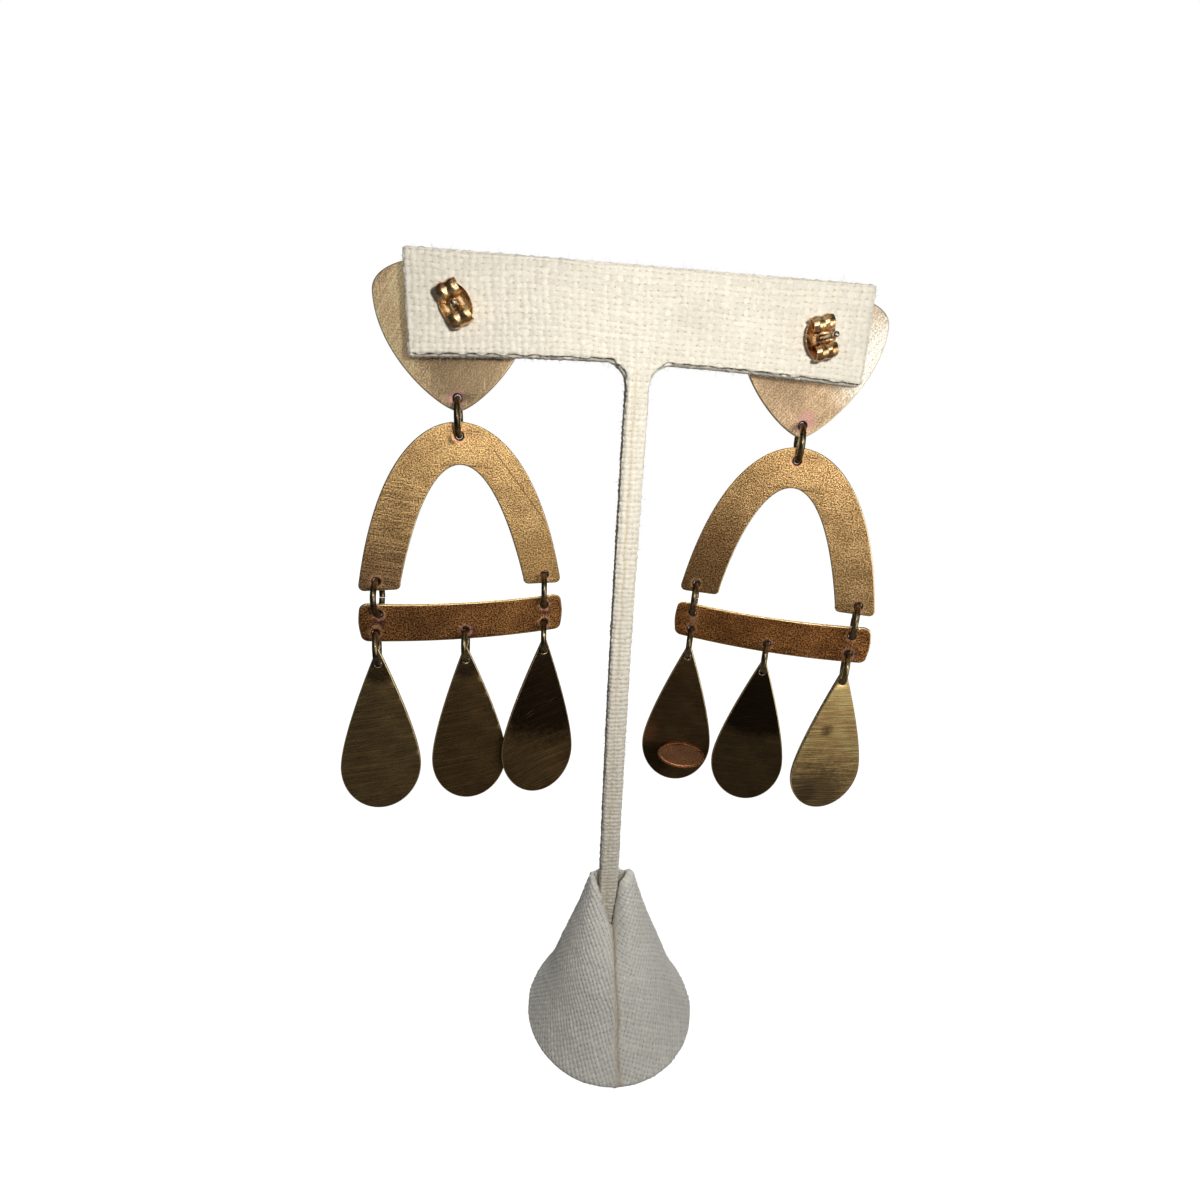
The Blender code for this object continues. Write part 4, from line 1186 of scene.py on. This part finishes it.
def sheet_brass(name, bright, dark, angle, lines=0.4, grain=0.4, cross=14.0, rough=0.45, rim=RUBBED_RIM_AND_GLINT,
                painted_light_and_tone=(), stains_and_highlights=(), holes=(), halo=COPPER, strokes=None, scratch=None):
    """A brushed brass, with every place on the sheet in mm.

    The shading spots, which are painted shade and painted highlight with a little tone, and the stain
    spots, which also hold painted highlights, are (x, z, radius, softness, colour, strength); strokes
    keeps the lines inside a spot (x, z, radius, softness), and scratch is (x, z, length, degrees).
    """
    made, nodes, shader = new_material(name)
    place = nodes.add("ShaderNodeUVMap", uv_map="sheet").outputs[0]
    turn, across = math.radians(angle), math.radians(cross)
    brushed = use_group(nodes, BRUSHED, Vector=place, Angle=turn, Cross=across)
    patchy = nodes.ramp(brushed["Grain"], 0.25, 0.55)

    def spot(x, z, reach, soft):
        centre = (x, z, 0.0)
        return use_group(nodes, SPOT, Vector=place, Centre=centre, Radius=reach, Softness=soft)["Mask"]

    def spotted(colour, spots, broken=None):
        for x, z, reach, soft, tint, strength in spots:
            share = nodes.times(spot(x, z, reach, soft), strength)
            if broken is not None:
                share = nodes.times(share, broken)
            colour = nodes.mix(share, colour, (*tint, 1.0))
        return colour

    colour = nodes.mix(nodes.ramp(brushed["Cloud"], 0.35, 0.65), (*dark, 1.0), (*bright, 1.0))
    # Spots of painted shade and painted highlight, with a little tone.
    colour = spotted(colour, painted_light_and_tone)
    depth = lines
    if strokes:
        depth = nodes.plus(nodes.times(spot(*strokes), lines), 0.05)
    stroke = nodes.minus(nodes.ramp(brushed["Lines"], 0.42, 0.68), 0.25)
    speckle = nodes.minus(nodes.ramp(brushed["Grain"], 0.36, 0.66), 0.42)
    lift = nodes.plus(nodes.times(stroke, depth), nodes.times(speckle, grain))
    gain = nodes.plus(nodes.times(lift, 2.0), 1.0)
    lit = nodes.add("ShaderNodeVectorMath", operation="SCALE")
    nodes.wire(colour, lit.inputs[0])
    nodes.wire(nodes.math("MAXIMUM", gain, 0.1), lit.inputs["Scale"])
    colour = spotted(lit.outputs[0], stains_and_highlights, patchy)
    shine = nodes.times(brushed["Scratches"], 0.5)
    colour = nodes.mix(shine, colour, (*[min(1.0, c * 1.7) for c in bright], 1.0))
    if scratch:
        x, z, length, degrees = scratch
        laid = nodes.add("ShaderNodeVectorRotate", rotation_type="Z_AXIS")
        nodes.wire(nodes.vector("SUBTRACT", place, (x, z, 0.0)), laid.inputs["Vector"])
        laid.inputs["Angle"].default_value = -math.radians(degrees)
        split = nodes.add("ShaderNodeSeparateXYZ")
        nodes.wire(laid.outputs[0], split.inputs[0])
        beside = nodes.ramp(nodes.math("ABSOLUTE", split.outputs[1]), 0.03, 0.14)
        from_middle = nodes.math("ABSOLUTE", nodes.minus(split.outputs[0], length / 2))
        ended = nodes.ramp(from_middle, length / 2 - 1, length / 2)
        cut = nodes.times(nodes.rest(beside), nodes.rest(ended))
        colour = nodes.mix(nodes.times(cut, 0.75), colour, (*[c * 0.3 for c in dark], 1.0))
    # Rims turn gold: partly rubbed wear, partly a painted glint, since no rim gets less than half.
    rim_rub_and_glint = nodes.plus(nodes.times(patchy, 0.5), 0.5)
    rim_wear_and_glint = nodes.times(nodes.mask("rim"), rim_rub_and_glint)
    colour = nodes.mix(rim_wear_and_glint, colour, (*rim, 1.0))
    if holes:
        near = None
        for x, z in holes:
            away = nodes.vector("DISTANCE", place, (x, z, 0.0))
            near = away if near is None else nodes.math("MINIMUM", near, away)
        ragged = nodes.minus(nodes.noise(place, 1.5, 3.0, 0.65), 0.5)
        ragged = nodes.plus(near, nodes.times(ragged, 1.6))
        ring = nodes.times(nodes.rest(nodes.ramp(ragged, 0.9, 1.25)), patchy)
        colour = nodes.mix(nodes.times(ring, 0.8), colour, (*halo, 1.0))
        # Painted shade on the hole walls and close round each hole.
        hole_shade = nodes.rest(nodes.ramp(near, 0.62, 0.84))
        colour = nodes.mix(nodes.times(hole_shade, 0.9), colour, (*SOOT_AND_SHADE, 1.0))
    nodes.wire(colour, shader.inputs["Base Color"])
    shader.inputs["Metallic"].default_value = 1.0
    coarse = nodes.times(nodes.minus(brushed["Grain"], 0.5), 0.3)
    matt = nodes.plus(nodes.plus(coarse, rough), nodes.times(rim_wear_and_glint, -0.14), clamp=True)
    if holes:
        matt = nodes.plus(matt, nodes.times(hole_shade, 0.5), clamp=True)
    nodes.wire(matt, shader.inputs["Roughness"])
    lines_part = nodes.times(brushed["Lines"], depth)
    height = nodes.plus(lines_part, nodes.times(brushed["Grain"], grain))
    raise_surface(nodes, shader, height, 0.6, 0.1)
    return made


# %% [markdown]
# ### Twelve sheets, twelve backs
# The values below come from looking at each back in turn: how pale it is, which way it was rubbed,
# and where the torch left pink or violet. How light or dark a back looks is partly painted: its tone is
# raised or lowered, and spots of painted shade and painted highlight lie where light and shade fall.

# %% Finishes of the sheets
HANGERS = [(-HANGER_HALF, 0.0), (HANGER_HALF, 0.0)]
HIGHLIGHT_GOLD = (0.95, 0.66, 0.30)
# Rows of (x, z, radius, strength) of a painted highlight down one flank of a drop.
FLANK_HIGHLIGHT = [
    (x, z, radius, 0.3, HIGHLIGHT_GOLD, strength)
    for x, z, radius, strength in (
        (2.35, -3.5, 0.5, 0.6), (3.5, -6.2, 0.5, 0.7), (4.6, -9.2, 0.5, 0.7),
        (5.5, -12.5, 0.55, 0.7), (6.05, -16.0, 0.55, 0.7),
    )
]
SHEETS = {
    "left_top_plate": sheet_brass(
        "pale_brass_left", (1.0, 0.75, 0.45), (0.86, 0.63, 0.38), 58.0, 0.2, 0.26, 35.0, 0.5,
        # Painted shade on the lower middle and on the top-left rim.
        painted_light_and_tone=[(1.5, 3.8, 6.4, 2.6, (0.36, 0.26, 0.155), 0.9),
                (-10.5, 17.5, 2.4, 1.2, (0.22, 0.14, 0.07), 0.7)],
        stains_and_highlights=[(-0.8, -0.2, 0.75, 0.35, PINK, 0.7)], holes=[(0, 0)], halo=PINK,
    ),
    "right_top_plate": sheet_brass(
        "pale_brass_right", (0.62, 0.45, 0.28), (0.45, 0.325, 0.20), 50.0, 0.3, 0.34, 40.0, 0.5,
        # Painted shade on the left part and a near-white painted highlight on the right side.
        painted_light_and_tone=[(-4.0, 5.0, 4.0, 2.5, (0.32, 0.225, 0.14), 0.7),
                (11.0, 9.5, 6.6, 3.6, (1.0, 0.92, 0.78), 1.0)],
        stains_and_highlights=[(0.6, 0.9, 1.3, 0.6, PINK, 0.75)], holes=[(0, 0)], halo=PINK,
    ),
    "left_arch": sheet_brass(
        "satin_brass_left", (0.52, 0.34, 0.15), (0.37, 0.23, 0.10), -13.0, 0.45, 0.62, 9.0, 0.48,
        # Painted shade on the left foot and on the right leg.
        painted_light_and_tone=[(-13.5, -22.0, 6.5, 4.0, (0.28, 0.16, 0.08), 0.7),
                (12.5, -19.0, 4.5, 3.0, (0.46, 0.28, 0.11), 0.6)],
        stains_and_highlights=[(-1.0, -0.6, 0.7, 0.4, SOOT_AND_SHADE, 0.8)],
        holes=ARCH_HOLES, strokes=(-12.0, -15.0, 10.0, 0.8), scratch=(4.6, -1.4, 14.6, -53.9),
    ),
    "right_arch": sheet_brass(
        "satin_brass_right", (0.60, 0.385, 0.175), (0.42, 0.26, 0.11), -8.0, 0.12, 0.66, 30.0, 0.48,
        # Painted shade down the left leg towards its foot.
        painted_light_and_tone=[(-13.0, -20.0, 11.0, 6.0, (0.27, 0.145, 0.06), 0.85)], holes=ARCH_HOLES,
    ),
    "left_bar": sheet_brass(
        "brown_brass_left", (0.32, 0.152, 0.053), (0.20, 0.092, 0.032), 4.0, 0.12, 0.95,
        stains_and_highlights=[(-13.0, -1.6, 0.8, 0.4, VIOLET, 0.9), (13.2, -0.9, 0.8, 0.4, VIOLET, 0.8),
                (0.4, -3.9, 1.3, 0.5, VIOLET, 0.8), (-13.4, -2.2, 0.6, 0.3, COPPER, 0.9)],
        holes=HANGERS + BAR_LOWER_HOLES["left"],
    ),
    "right_bar": sheet_brass(
        "brown_brass_right", (0.45, 0.20, 0.066), (0.27, 0.117, 0.038), -6.0, 0.3, 0.9,
        stains_and_highlights=[(13.2, -2.9, 1.1, 0.5, VIOLET, 0.8), (-12.6, -1.2, 0.7, 0.4, COPPER, 0.8)],
        holes=HANGERS + BAR_LOWER_HOLES["right"],
    ),
    "left_drop_1": sheet_brass(
        "olive_brass_1", (0.27, 0.18, 0.075), (0.20, 0.135, 0.06), 3.0, 0.45, 0.18,
        # Darker round the top, and a painted highlight down one flank.
        stains_and_highlights=[(0.0, -1.2, 2.2, 0.8, SOOT_AND_SHADE, 0.9), *FLANK_HIGHLIGHT],
    ),
    "left_drop_2": sheet_brass(
        "olive_brass_2", (0.165, 0.102, 0.04), (0.12, 0.076, 0.031), 5.0, 0.4, 0.18,
        # Darker round the top, and a painted highlight down one flank.
        stains_and_highlights=[(0.0, -1.2, 2.0, 0.8, SOOT_AND_SHADE, 0.9), *FLANK_HIGHLIGHT],
    ),
    "left_drop_3": sheet_brass(
        "olive_brass_3", (0.135, 0.082, 0.034), (0.10, 0.062, 0.027), 22.0, 0.5, 0.15,
        # Painted shade that darkens nearly the whole drop.
        painted_light_and_tone=[(1.0, -3.0, 13.0, 3.0, (0.014, 0.009, 0.005), 0.93)],
    ),
    "right_drop_1": sheet_brass(
        "olive_brass_4", (0.14, 0.086, 0.036), (0.10, 0.062, 0.028), 2.0, 0.3, 0.15,
        painted_light_and_tone=[(-3.5, -21.5, 3.5, 2.0, (0.02, 0.013, 0.008), 0.8),
                (-6.0, -16.0, 2.0, 1.5, (0.30, 0.12, 0.05), 0.7)],
    ),
    "right_drop_2": sheet_brass(
        "olive_brass_5", (0.12, 0.08, 0.034), (0.09, 0.06, 0.027), 2.0, 0.3, 0.15,
        # Painted shade over the upper part of the drop.
        painted_light_and_tone=[(0.0, -2.0, 10.5, 1.2, (0.02, 0.013, 0.007), 0.9)],
    ),
    "right_drop_3": sheet_brass(
        # Its bright tone is a painted highlight, a lit copy of the same brass, with painted shade on the
        # lower left.
        "olive_brass_lit_6", (1.0, 0.66, 0.28), (0.78, 0.50, 0.21), -2.0, 0.7, 0.15, 5.0, 0.38,
        painted_light_and_tone=[(-2.0, -23.0, 7.5, 4.0, (0.18, 0.125, 0.06), 0.85)],
        stains_and_highlights=[(-1.2, -9.4, 1.0, 0.6, SOOT_AND_SHADE, 0.8), (-3.0, -22.5, 1.8, 1.0, SOOT_AND_SHADE, 0.6)],
    ),
}
print("sheet finishes:", len(SHEETS))

# %% [markdown]
# ### Wire, gilt and steel
# The rings are darkened wire with brighter patches. The clutches are polished gilt strip, where
# orange comes from gold mirroring gold. The post is plain silvery metal.


# %% Recipe: round metal
def round_metal(name, bright, dark, rough, size, wear=0.5, dents=0.35):
    """A metal with patches of tarnish, in object coordinates."""
    made, nodes, shader = new_material(name)
    place = nodes.add("ShaderNodeTexCoord").outputs["Object"]
    patch = nodes.noise(place, size, 4.0, 0.6)
    fine = nodes.noise(place, size * 7, 2.0, 0.5)
    colour = nodes.mix(nodes.ramp(patch, wear - 0.12, wear + 0.14), (*dark, 1), (*bright, 1))
    nodes.wire(colour, shader.inputs["Base Color"])
    uneven = nodes.times(nodes.minus(fine, 0.5), 0.2)
    nodes.wire(nodes.plus(uneven, rough), shader.inputs["Roughness"])
    shader.inputs["Metallic"].default_value = 1.0
    height = nodes.plus(nodes.times(patch, 0.7), nodes.times(fine, 0.3))
    raise_surface(nodes, shader, height, dents, 0.06)
    return made


WIRE = round_metal("antique_wire", (0.30, 0.23, 0.12), (0.09, 0.065, 0.035), 0.3, 900.0)
GILT = round_metal("bright_gold", (0.95, 0.66, 0.34), (0.42, 0.20, 0.08), 0.27, 300.0, 0.5, 0.04)
STEEL = round_metal("post_steel", (0.62, 0.56, 0.48), (0.34, 0.28, 0.22), 0.25, 1200.0)
COPPERED = sheet_brass(
    "coppery_plaque", (0.50, 0.21, 0.09), (0.20, 0.085, 0.04), 4.0, 0.2, 0.7, rim=(0.72, 0.36, 0.18),
)

# %% [markdown]
# ### Linen
# Threads are cream, and the gaps between them are tan, partly because the board and glue show through
# and partly as painted shade between the threads. The group repeats the weave's formula on the cloth's
# own coordinates, adds slubs, which are threads that swell for a short way, and fine fibres that run
# along whichever thread is on top.

# %% Group: plain weave
nodes, given, out = new_group(
    "plain_weave",
    [("Vector", "Vector", None)],
    [("Height", "Float"), ("Gap", "Float"), ("Thread", "Float"), ("Fibre", "Float")],
)
split = nodes.add("ShaderNodeSeparateXYZ")
nodes.wire(given["Vector"], split.inputs[0])


def thread_height(across, along, sign):
    """One set of threads: a ridge across times an over-and-under wave along."""
    round_it = nodes.math("SINE", nodes.times(across, math.pi))
    ridge = nodes.math("POWER", nodes.math("ABSOLUTE", round_it), RIDGE)
    phase = nodes.plus(nodes.minus(along, 0.5), nodes.math("FLOOR", across))
    wave = nodes.math("COSINE", nodes.times(phase, math.pi))
    crown = nodes.plus(nodes.times(wave, WAVE * sign), CROWN - WEFT_LIFT * sign)
    return nodes.times(ridge, crown)


def of_upper(warp_value, weft_value):
    """The value of whichever thread lies on top."""
    node = nodes.add("ShaderNodeMix", data_type="FLOAT")
    nodes.wire(on_top, node.inputs[0])
    nodes.wire(weft_value, node.inputs[2])
    nodes.wire(warp_value, node.inputs[3])
    return node.outputs[0]


warp = thread_height(split.outputs[0], split.outputs[1], 1.0)
weft = thread_height(split.outputs[1], split.outputs[0], -1.0)
on_top = nodes.math("GREATER_THAN", warp, weft)
height = nodes.math("MAXIMUM", warp, weft)
warp_fibre = nodes.noise(nodes.scaled(given["Vector"], 9.0, 1.2), 1.0, 3.0, 0.7)
weft_fibre = nodes.noise(nodes.scaled(given["Vector"], 1.2, 9.0), 1.0, 3.0, 0.7)
slub_warp = nodes.noise(nodes.scaled(given["Vector"], 1.0, 0.08), 1.0, 1.0)
slub_weft = nodes.noise(nodes.scaled(given["Vector"], 0.08, 1.0), 1.0, 1.0)
nodes.wire(height, out["Height"])
nodes.wire(nodes.rest(nodes.ramp(height, 0.2, 0.56)), out["Gap"])
nodes.wire(of_upper(slub_warp, slub_weft), out["Thread"])
nodes.wire(of_upper(warp_fibre, weft_fibre), out["Fibre"])
WEAVE = nodes.tree


# %% Recipe: linen
def linen(name, cream, tan, dirt):
    """Linen on its own weave coordinates, with glue and hand dirt, gaps partly painted shade, and a dark
    seam line partly painted shade.
    """
    made, nodes, shader = new_material(name)
    place = nodes.add("ShaderNodeUVMap", uv_map="weave").outputs[0]
    jitter = nodes.add("ShaderNodeTexNoise")
    nodes.wire(place, jitter.inputs["Vector"])
    jitter.inputs["Scale"].default_value = 1.7
    jitter.inputs["Detail"].default_value = 2.0
    centred = nodes.vector("SUBTRACT", jitter.outputs["Color"], (0.5, 0.5, 0.5))
    uneven = nodes.vector("ADD", place, nodes.scaled(centred, 0.6, 0.5, 0.0))
    weave = use_group(nodes, WEAVE, Vector=uneven)
    body = nodes.add("ShaderNodeTexCoord").outputs["Object"]
    thread = nodes.mix(nodes.ramp(weave["Thread"], 0.3, 0.7), (*[c * 0.86 for c in cream], 1), (*cream, 1))
    fuzz = nodes.ramp(nodes.noise(place, 3.3, 3.0, 0.75), 0.42, 0.62)
    # Tan in the gaps: the board showing through, and painted shade between the threads.
    loose = nodes.ramp(nodes.noise(place, 0.8, 2.0, 0.6), 0.3, 0.62)
    gap_tan_and_shade = nodes.times(weave["Gap"], loose)
    gap_tan_and_shade = nodes.times(gap_tan_and_shade, nodes.rest(nodes.times(fuzz, 0.75)))
    colour = nodes.mix(gap_tan_and_shade, thread, (*tan, 1))
    white = nodes.times(nodes.times(nodes.ramp(weave["Fibre"], 0.42, 0.66), fuzz), 0.8)
    colour = nodes.mix(white, colour, (0.96, 0.94, 0.9, 1))
    soil = nodes.ramp(nodes.noise(body, 70.0, 4.0, 0.6), 0.5, 0.75)
    colour = nodes.mix(nodes.times(soil, dirt), colour, (0.42, 0.39, 0.36, 1), "MULTIPLY")
    colour = nodes.mix(nodes.times(nodes.mask("glue"), 0.55), colour, (0.55, 0.42, 0.24, 1))
    # Near black along the slit and the valley: partly the gap between the cloth edges, partly painted
    # shade.
    colour = nodes.mix(nodes.ramp(nodes.mask("slit_and_shade"), 0.35, 0.9), colour, (0.06, 0.045, 0.03, 1))
    nodes.wire(colour, shader.inputs["Base Color"])
    shader.inputs["Roughness"].default_value = 0.92
    shader.inputs["Specular IOR Level"].default_value = 0.2
    shader.inputs["Sheen Weight"].default_value = 0.25
    shader.inputs["Sheen Roughness"].default_value = 0.5
    height = nodes.plus(weave["Height"], nodes.times(weave["Fibre"], 0.5))
    raise_surface(nodes, shader, height, 0.7, 0.12)
    return made


LINEN_BAR = linen("linen_bar", (0.87, 0.83, 0.72), (0.52, 0.41, 0.24), 0.12)
LINEN_BASE = linen("linen_base_cloth", (0.93, 0.92, 0.86), (0.24, 0.21, 0.165), 0.2)
FIBRE = linen("linen_fibre", (0.85, 0.82, 0.74), (0.8, 0.74, 0.62), 0.0)

# %% [markdown]
# ## Dress the pieces and tie them to the parts
# Each piece now gets its finish, rides on the body that it belongs to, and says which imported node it
# stands for. The post is joined to its plate, because they are one soldered piece.


# %% Finish, ride and replace
def dress(obj, name, body, slot, *finishes):
    """Name a piece, give it its finish and tie it to its body and node."""
    obj.name = f"{name}_piece"
    obj.data.name = obj.name
    if finishes:
        obj.data.materials.clear()
        for finish in finishes:
            obj.data.materials.append(finish)
    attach(obj, body)
    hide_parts(name)


for side in ("left", "right"):
    plate, rod = top_plates[side], POSTS[side]["object"]
    hole = Vector(JOINTS[f"{side}_arch_swing"]["pos_m"]) + Vector((0, 0, LINK_REACH * MM))
    settle(plate, Matrix.Translation(hole) @ UPRIGHT)
    settle(rod, Matrix.Translation(hole))
    plate.data.materials.append(SHEETS[f"{side}_top_plate"])
    rod.data.materials.append(STEEL)
    pick(plate, rod)
    bpy.ops.object.join()
    dress(plate, f"{side}_top_plate", "stand", "pale_brass")
    dress(arches[side], f"{side}_arch", f"{side}_arch_body", "satin_brass", SHEETS[f"{side}_arch"])
    dress(bars[side], f"{side}_bar", f"{side}_bar_body", "brown_brass", SHEETS[f"{side}_bar"])
    for number in range(3):
        drop = drops[side, number]
        drop.data.materials.append(SHEETS[f"{side}_drop_{number + 1}"])
        if (side, number) == ("right", 0):
            plaque.data.materials.append(COPPERED)
            pick(drop, plaque)
            bpy.ops.object.join()
        dress(drop, f"{side}_drop_{number + 1}", f"{side}_bar_body", "olive_brass")
    for (owner, name), ring in rings.items():
        if owner == side:
            body = f"{side}_arch_body" if name == "top_ring" else f"{side}_bar_body"
            dress(ring, f"{side}_{name}", body, "antique_wire", WIRE)

CLUTCHES = {"left": (64.0, -2.45), "right": (75.0, -3.25)}
for side, (roll, seat) in CLUTCHES.items():
    clutch = own_copy(clutch_master)
    hole = Vector(JOINTS[f"{side}_arch_swing"]["pos_m"]) / MM + Vector((0, 0, LINK_REACH))
    place = move(hole.x + POSTS[side]["x"], seat, hole.z + POSTS[side]["reach"])
    settle(clutch, place @ turned(roll, "Y") @ Matrix.Diagonal((0.88, 1.0, 0.88, 1.0)))
    dress(clutch, f"{side}_clutch", "stand", "bright_gold", GILT)
bpy.data.objects.remove(clutch_master)

dress(board, "stand_tbar", "stand", "linen", LINEN_BAR)
dress(base, "stand_base", "stand", "linen", LINEN_BASE)
fibres.data.materials.append(FIBRE)
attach(fibres, "stand")

# %% [markdown]
# ## Camera, floor and light
# The picture was taken from very near with a wide lens, a little above the crossbar and tilted down, so
# the stand's foot looks small and far. A small lamp beside the lens throws the crossbar's shadow on the
# top plates. It is built twice, once for cloth alone, because one power is too weak for linen or too
# strong for brass. Two wide panels serve only as mirror images in the metal, and two weak ones and a
# large one behind the show side fill the shadows. The floor and the sky glow for the camera alone.

# %% Camera
EYE = Vector((-11.412, -90.857, 113.891)) * MM
YAW, PITCH_DOWN, ROLL = 0.0755874, 0.3113909, 0.0354184
SENSOR = 36.0
PICTURE_PIXELS = 1200.0
FOCAL_PIXELS = 607.93
forward = Vector(
    (math.sin(YAW) * math.cos(PITCH_DOWN), math.cos(YAW) * math.cos(PITCH_DOWN), -math.sin(PITCH_DOWN))
)
level = Vector((math.cos(YAW), -math.sin(YAW), 0.0))
above = level.cross(forward)
right = level * math.cos(ROLL) + above * math.sin(ROLL)
up = above * math.cos(ROLL) - level * math.sin(ROLL)
bpy.ops.object.camera_add(location=EYE)
camera = bpy.context.object
camera.rotation_euler = Matrix((right, up, -forward)).transposed().to_euler()
camera.data.sensor_width = SENSOR
camera.data.lens = FOCAL_PIXELS / PICTURE_PIXELS * SENSOR
camera.data.clip_start = 1 * MM
camera.data.clip_end = 50.0
bpy.context.scene.camera = camera
print("lens:", round(camera.data.lens, 2), "mm")

# %% Floor and lights
bpy.ops.mesh.primitive_circle_add(vertices=96, radius=0.4, fill_type="NGON", location=(0, 0, 0))
floor = bpy.context.object
floor.name = "floor"
edit_mode()
bpy.ops.mesh.select_all(action="SELECT")
bpy.ops.mesh.inset(thickness=0.2)
object_mode()
paper, nodes, shader = new_material("pale_paper")
shader.inputs["Base Color"].default_value = (0.3, 0.3, 0.3, 1.0)
shader.inputs["Roughness"].default_value = 0.9
seen = nodes.add("ShaderNodeLightPath").outputs["Is Camera Ray"]
nodes.wire((1.0, 1.0, 1.0, 1.0), shader.inputs["Emission Color"])
nodes.wire(nodes.times(seen, 0.97), shader.inputs["Emission Strength"])
floor.data.materials.append(paper)


def panel(name, place, aim, size, power, colour):
    """A square soft light that looks at a point, all in millimetres."""
    bpy.ops.object.light_add(type="AREA", location=Vector(place) * MM)
    light = bpy.context.object
    light.name = name
    light.rotation_euler = (Vector(aim) - Vector(place)).to_track_quat("-Z", "Y").to_euler()
    light.data.size = size * MM
    light.data.energy = power
    light.data.color = colour
    return light


AIM = (0, 0, 95)
LAMP_AT, LAMP_SIZE, LAMP_COLOUR = (8, -91, 128), 7, (1.0, 0.97, 0.92)
cloth_lamp = panel("lamp_for_cloth", LAMP_AT, AIM, LAMP_SIZE, 0.057, LAMP_COLOUR)
cloth_lamp.visible_glossy = False
panel("lamp_by_the_lens", LAMP_AT, AIM, LAMP_SIZE, 0.036, LAMP_COLOUR)
REFLECTORS = (("upper", (-10, -150, 185), 100, 0.05), ("right", (115, -115, 85), 110, 0.085))
for side, place, size, power in REFLECTORS:
    reflector = panel(f"reflector_{side}", place, AIM, size, power, (1.0, 0.97, 0.93))
    reflector.visible_diffuse = False
panel("window_right", (150, -60, 90), (10, 0, 60), 160, 0.035, (1.0, 0.98, 0.96))
panel("overhead", (20, -40, 330), (0, 0, 100), 200, 0.05, (1.0, 0.99, 0.97))
panel("show_side_fill", (30, 320, 215), (0, 0, 80), 300, 0.5, (1.0, 0.99, 0.97))

world = bpy.data.worlds.new("studio")
bpy.context.scene.world = world
world.use_nodes = True
nodes = Nodes(world.node_tree)
ground = world.node_tree.nodes["Background"]
nodes.wire((1.0, 1.0, 1.0, 1.0), ground.inputs["Color"])
seen = nodes.add("ShaderNodeLightPath").outputs["Is Camera Ray"]
nodes.wire(nodes.plus(nodes.times(seen, 0.95), 0.05), ground.inputs["Strength"])
bpy.context.scene.view_settings.view_transform = "Standard"
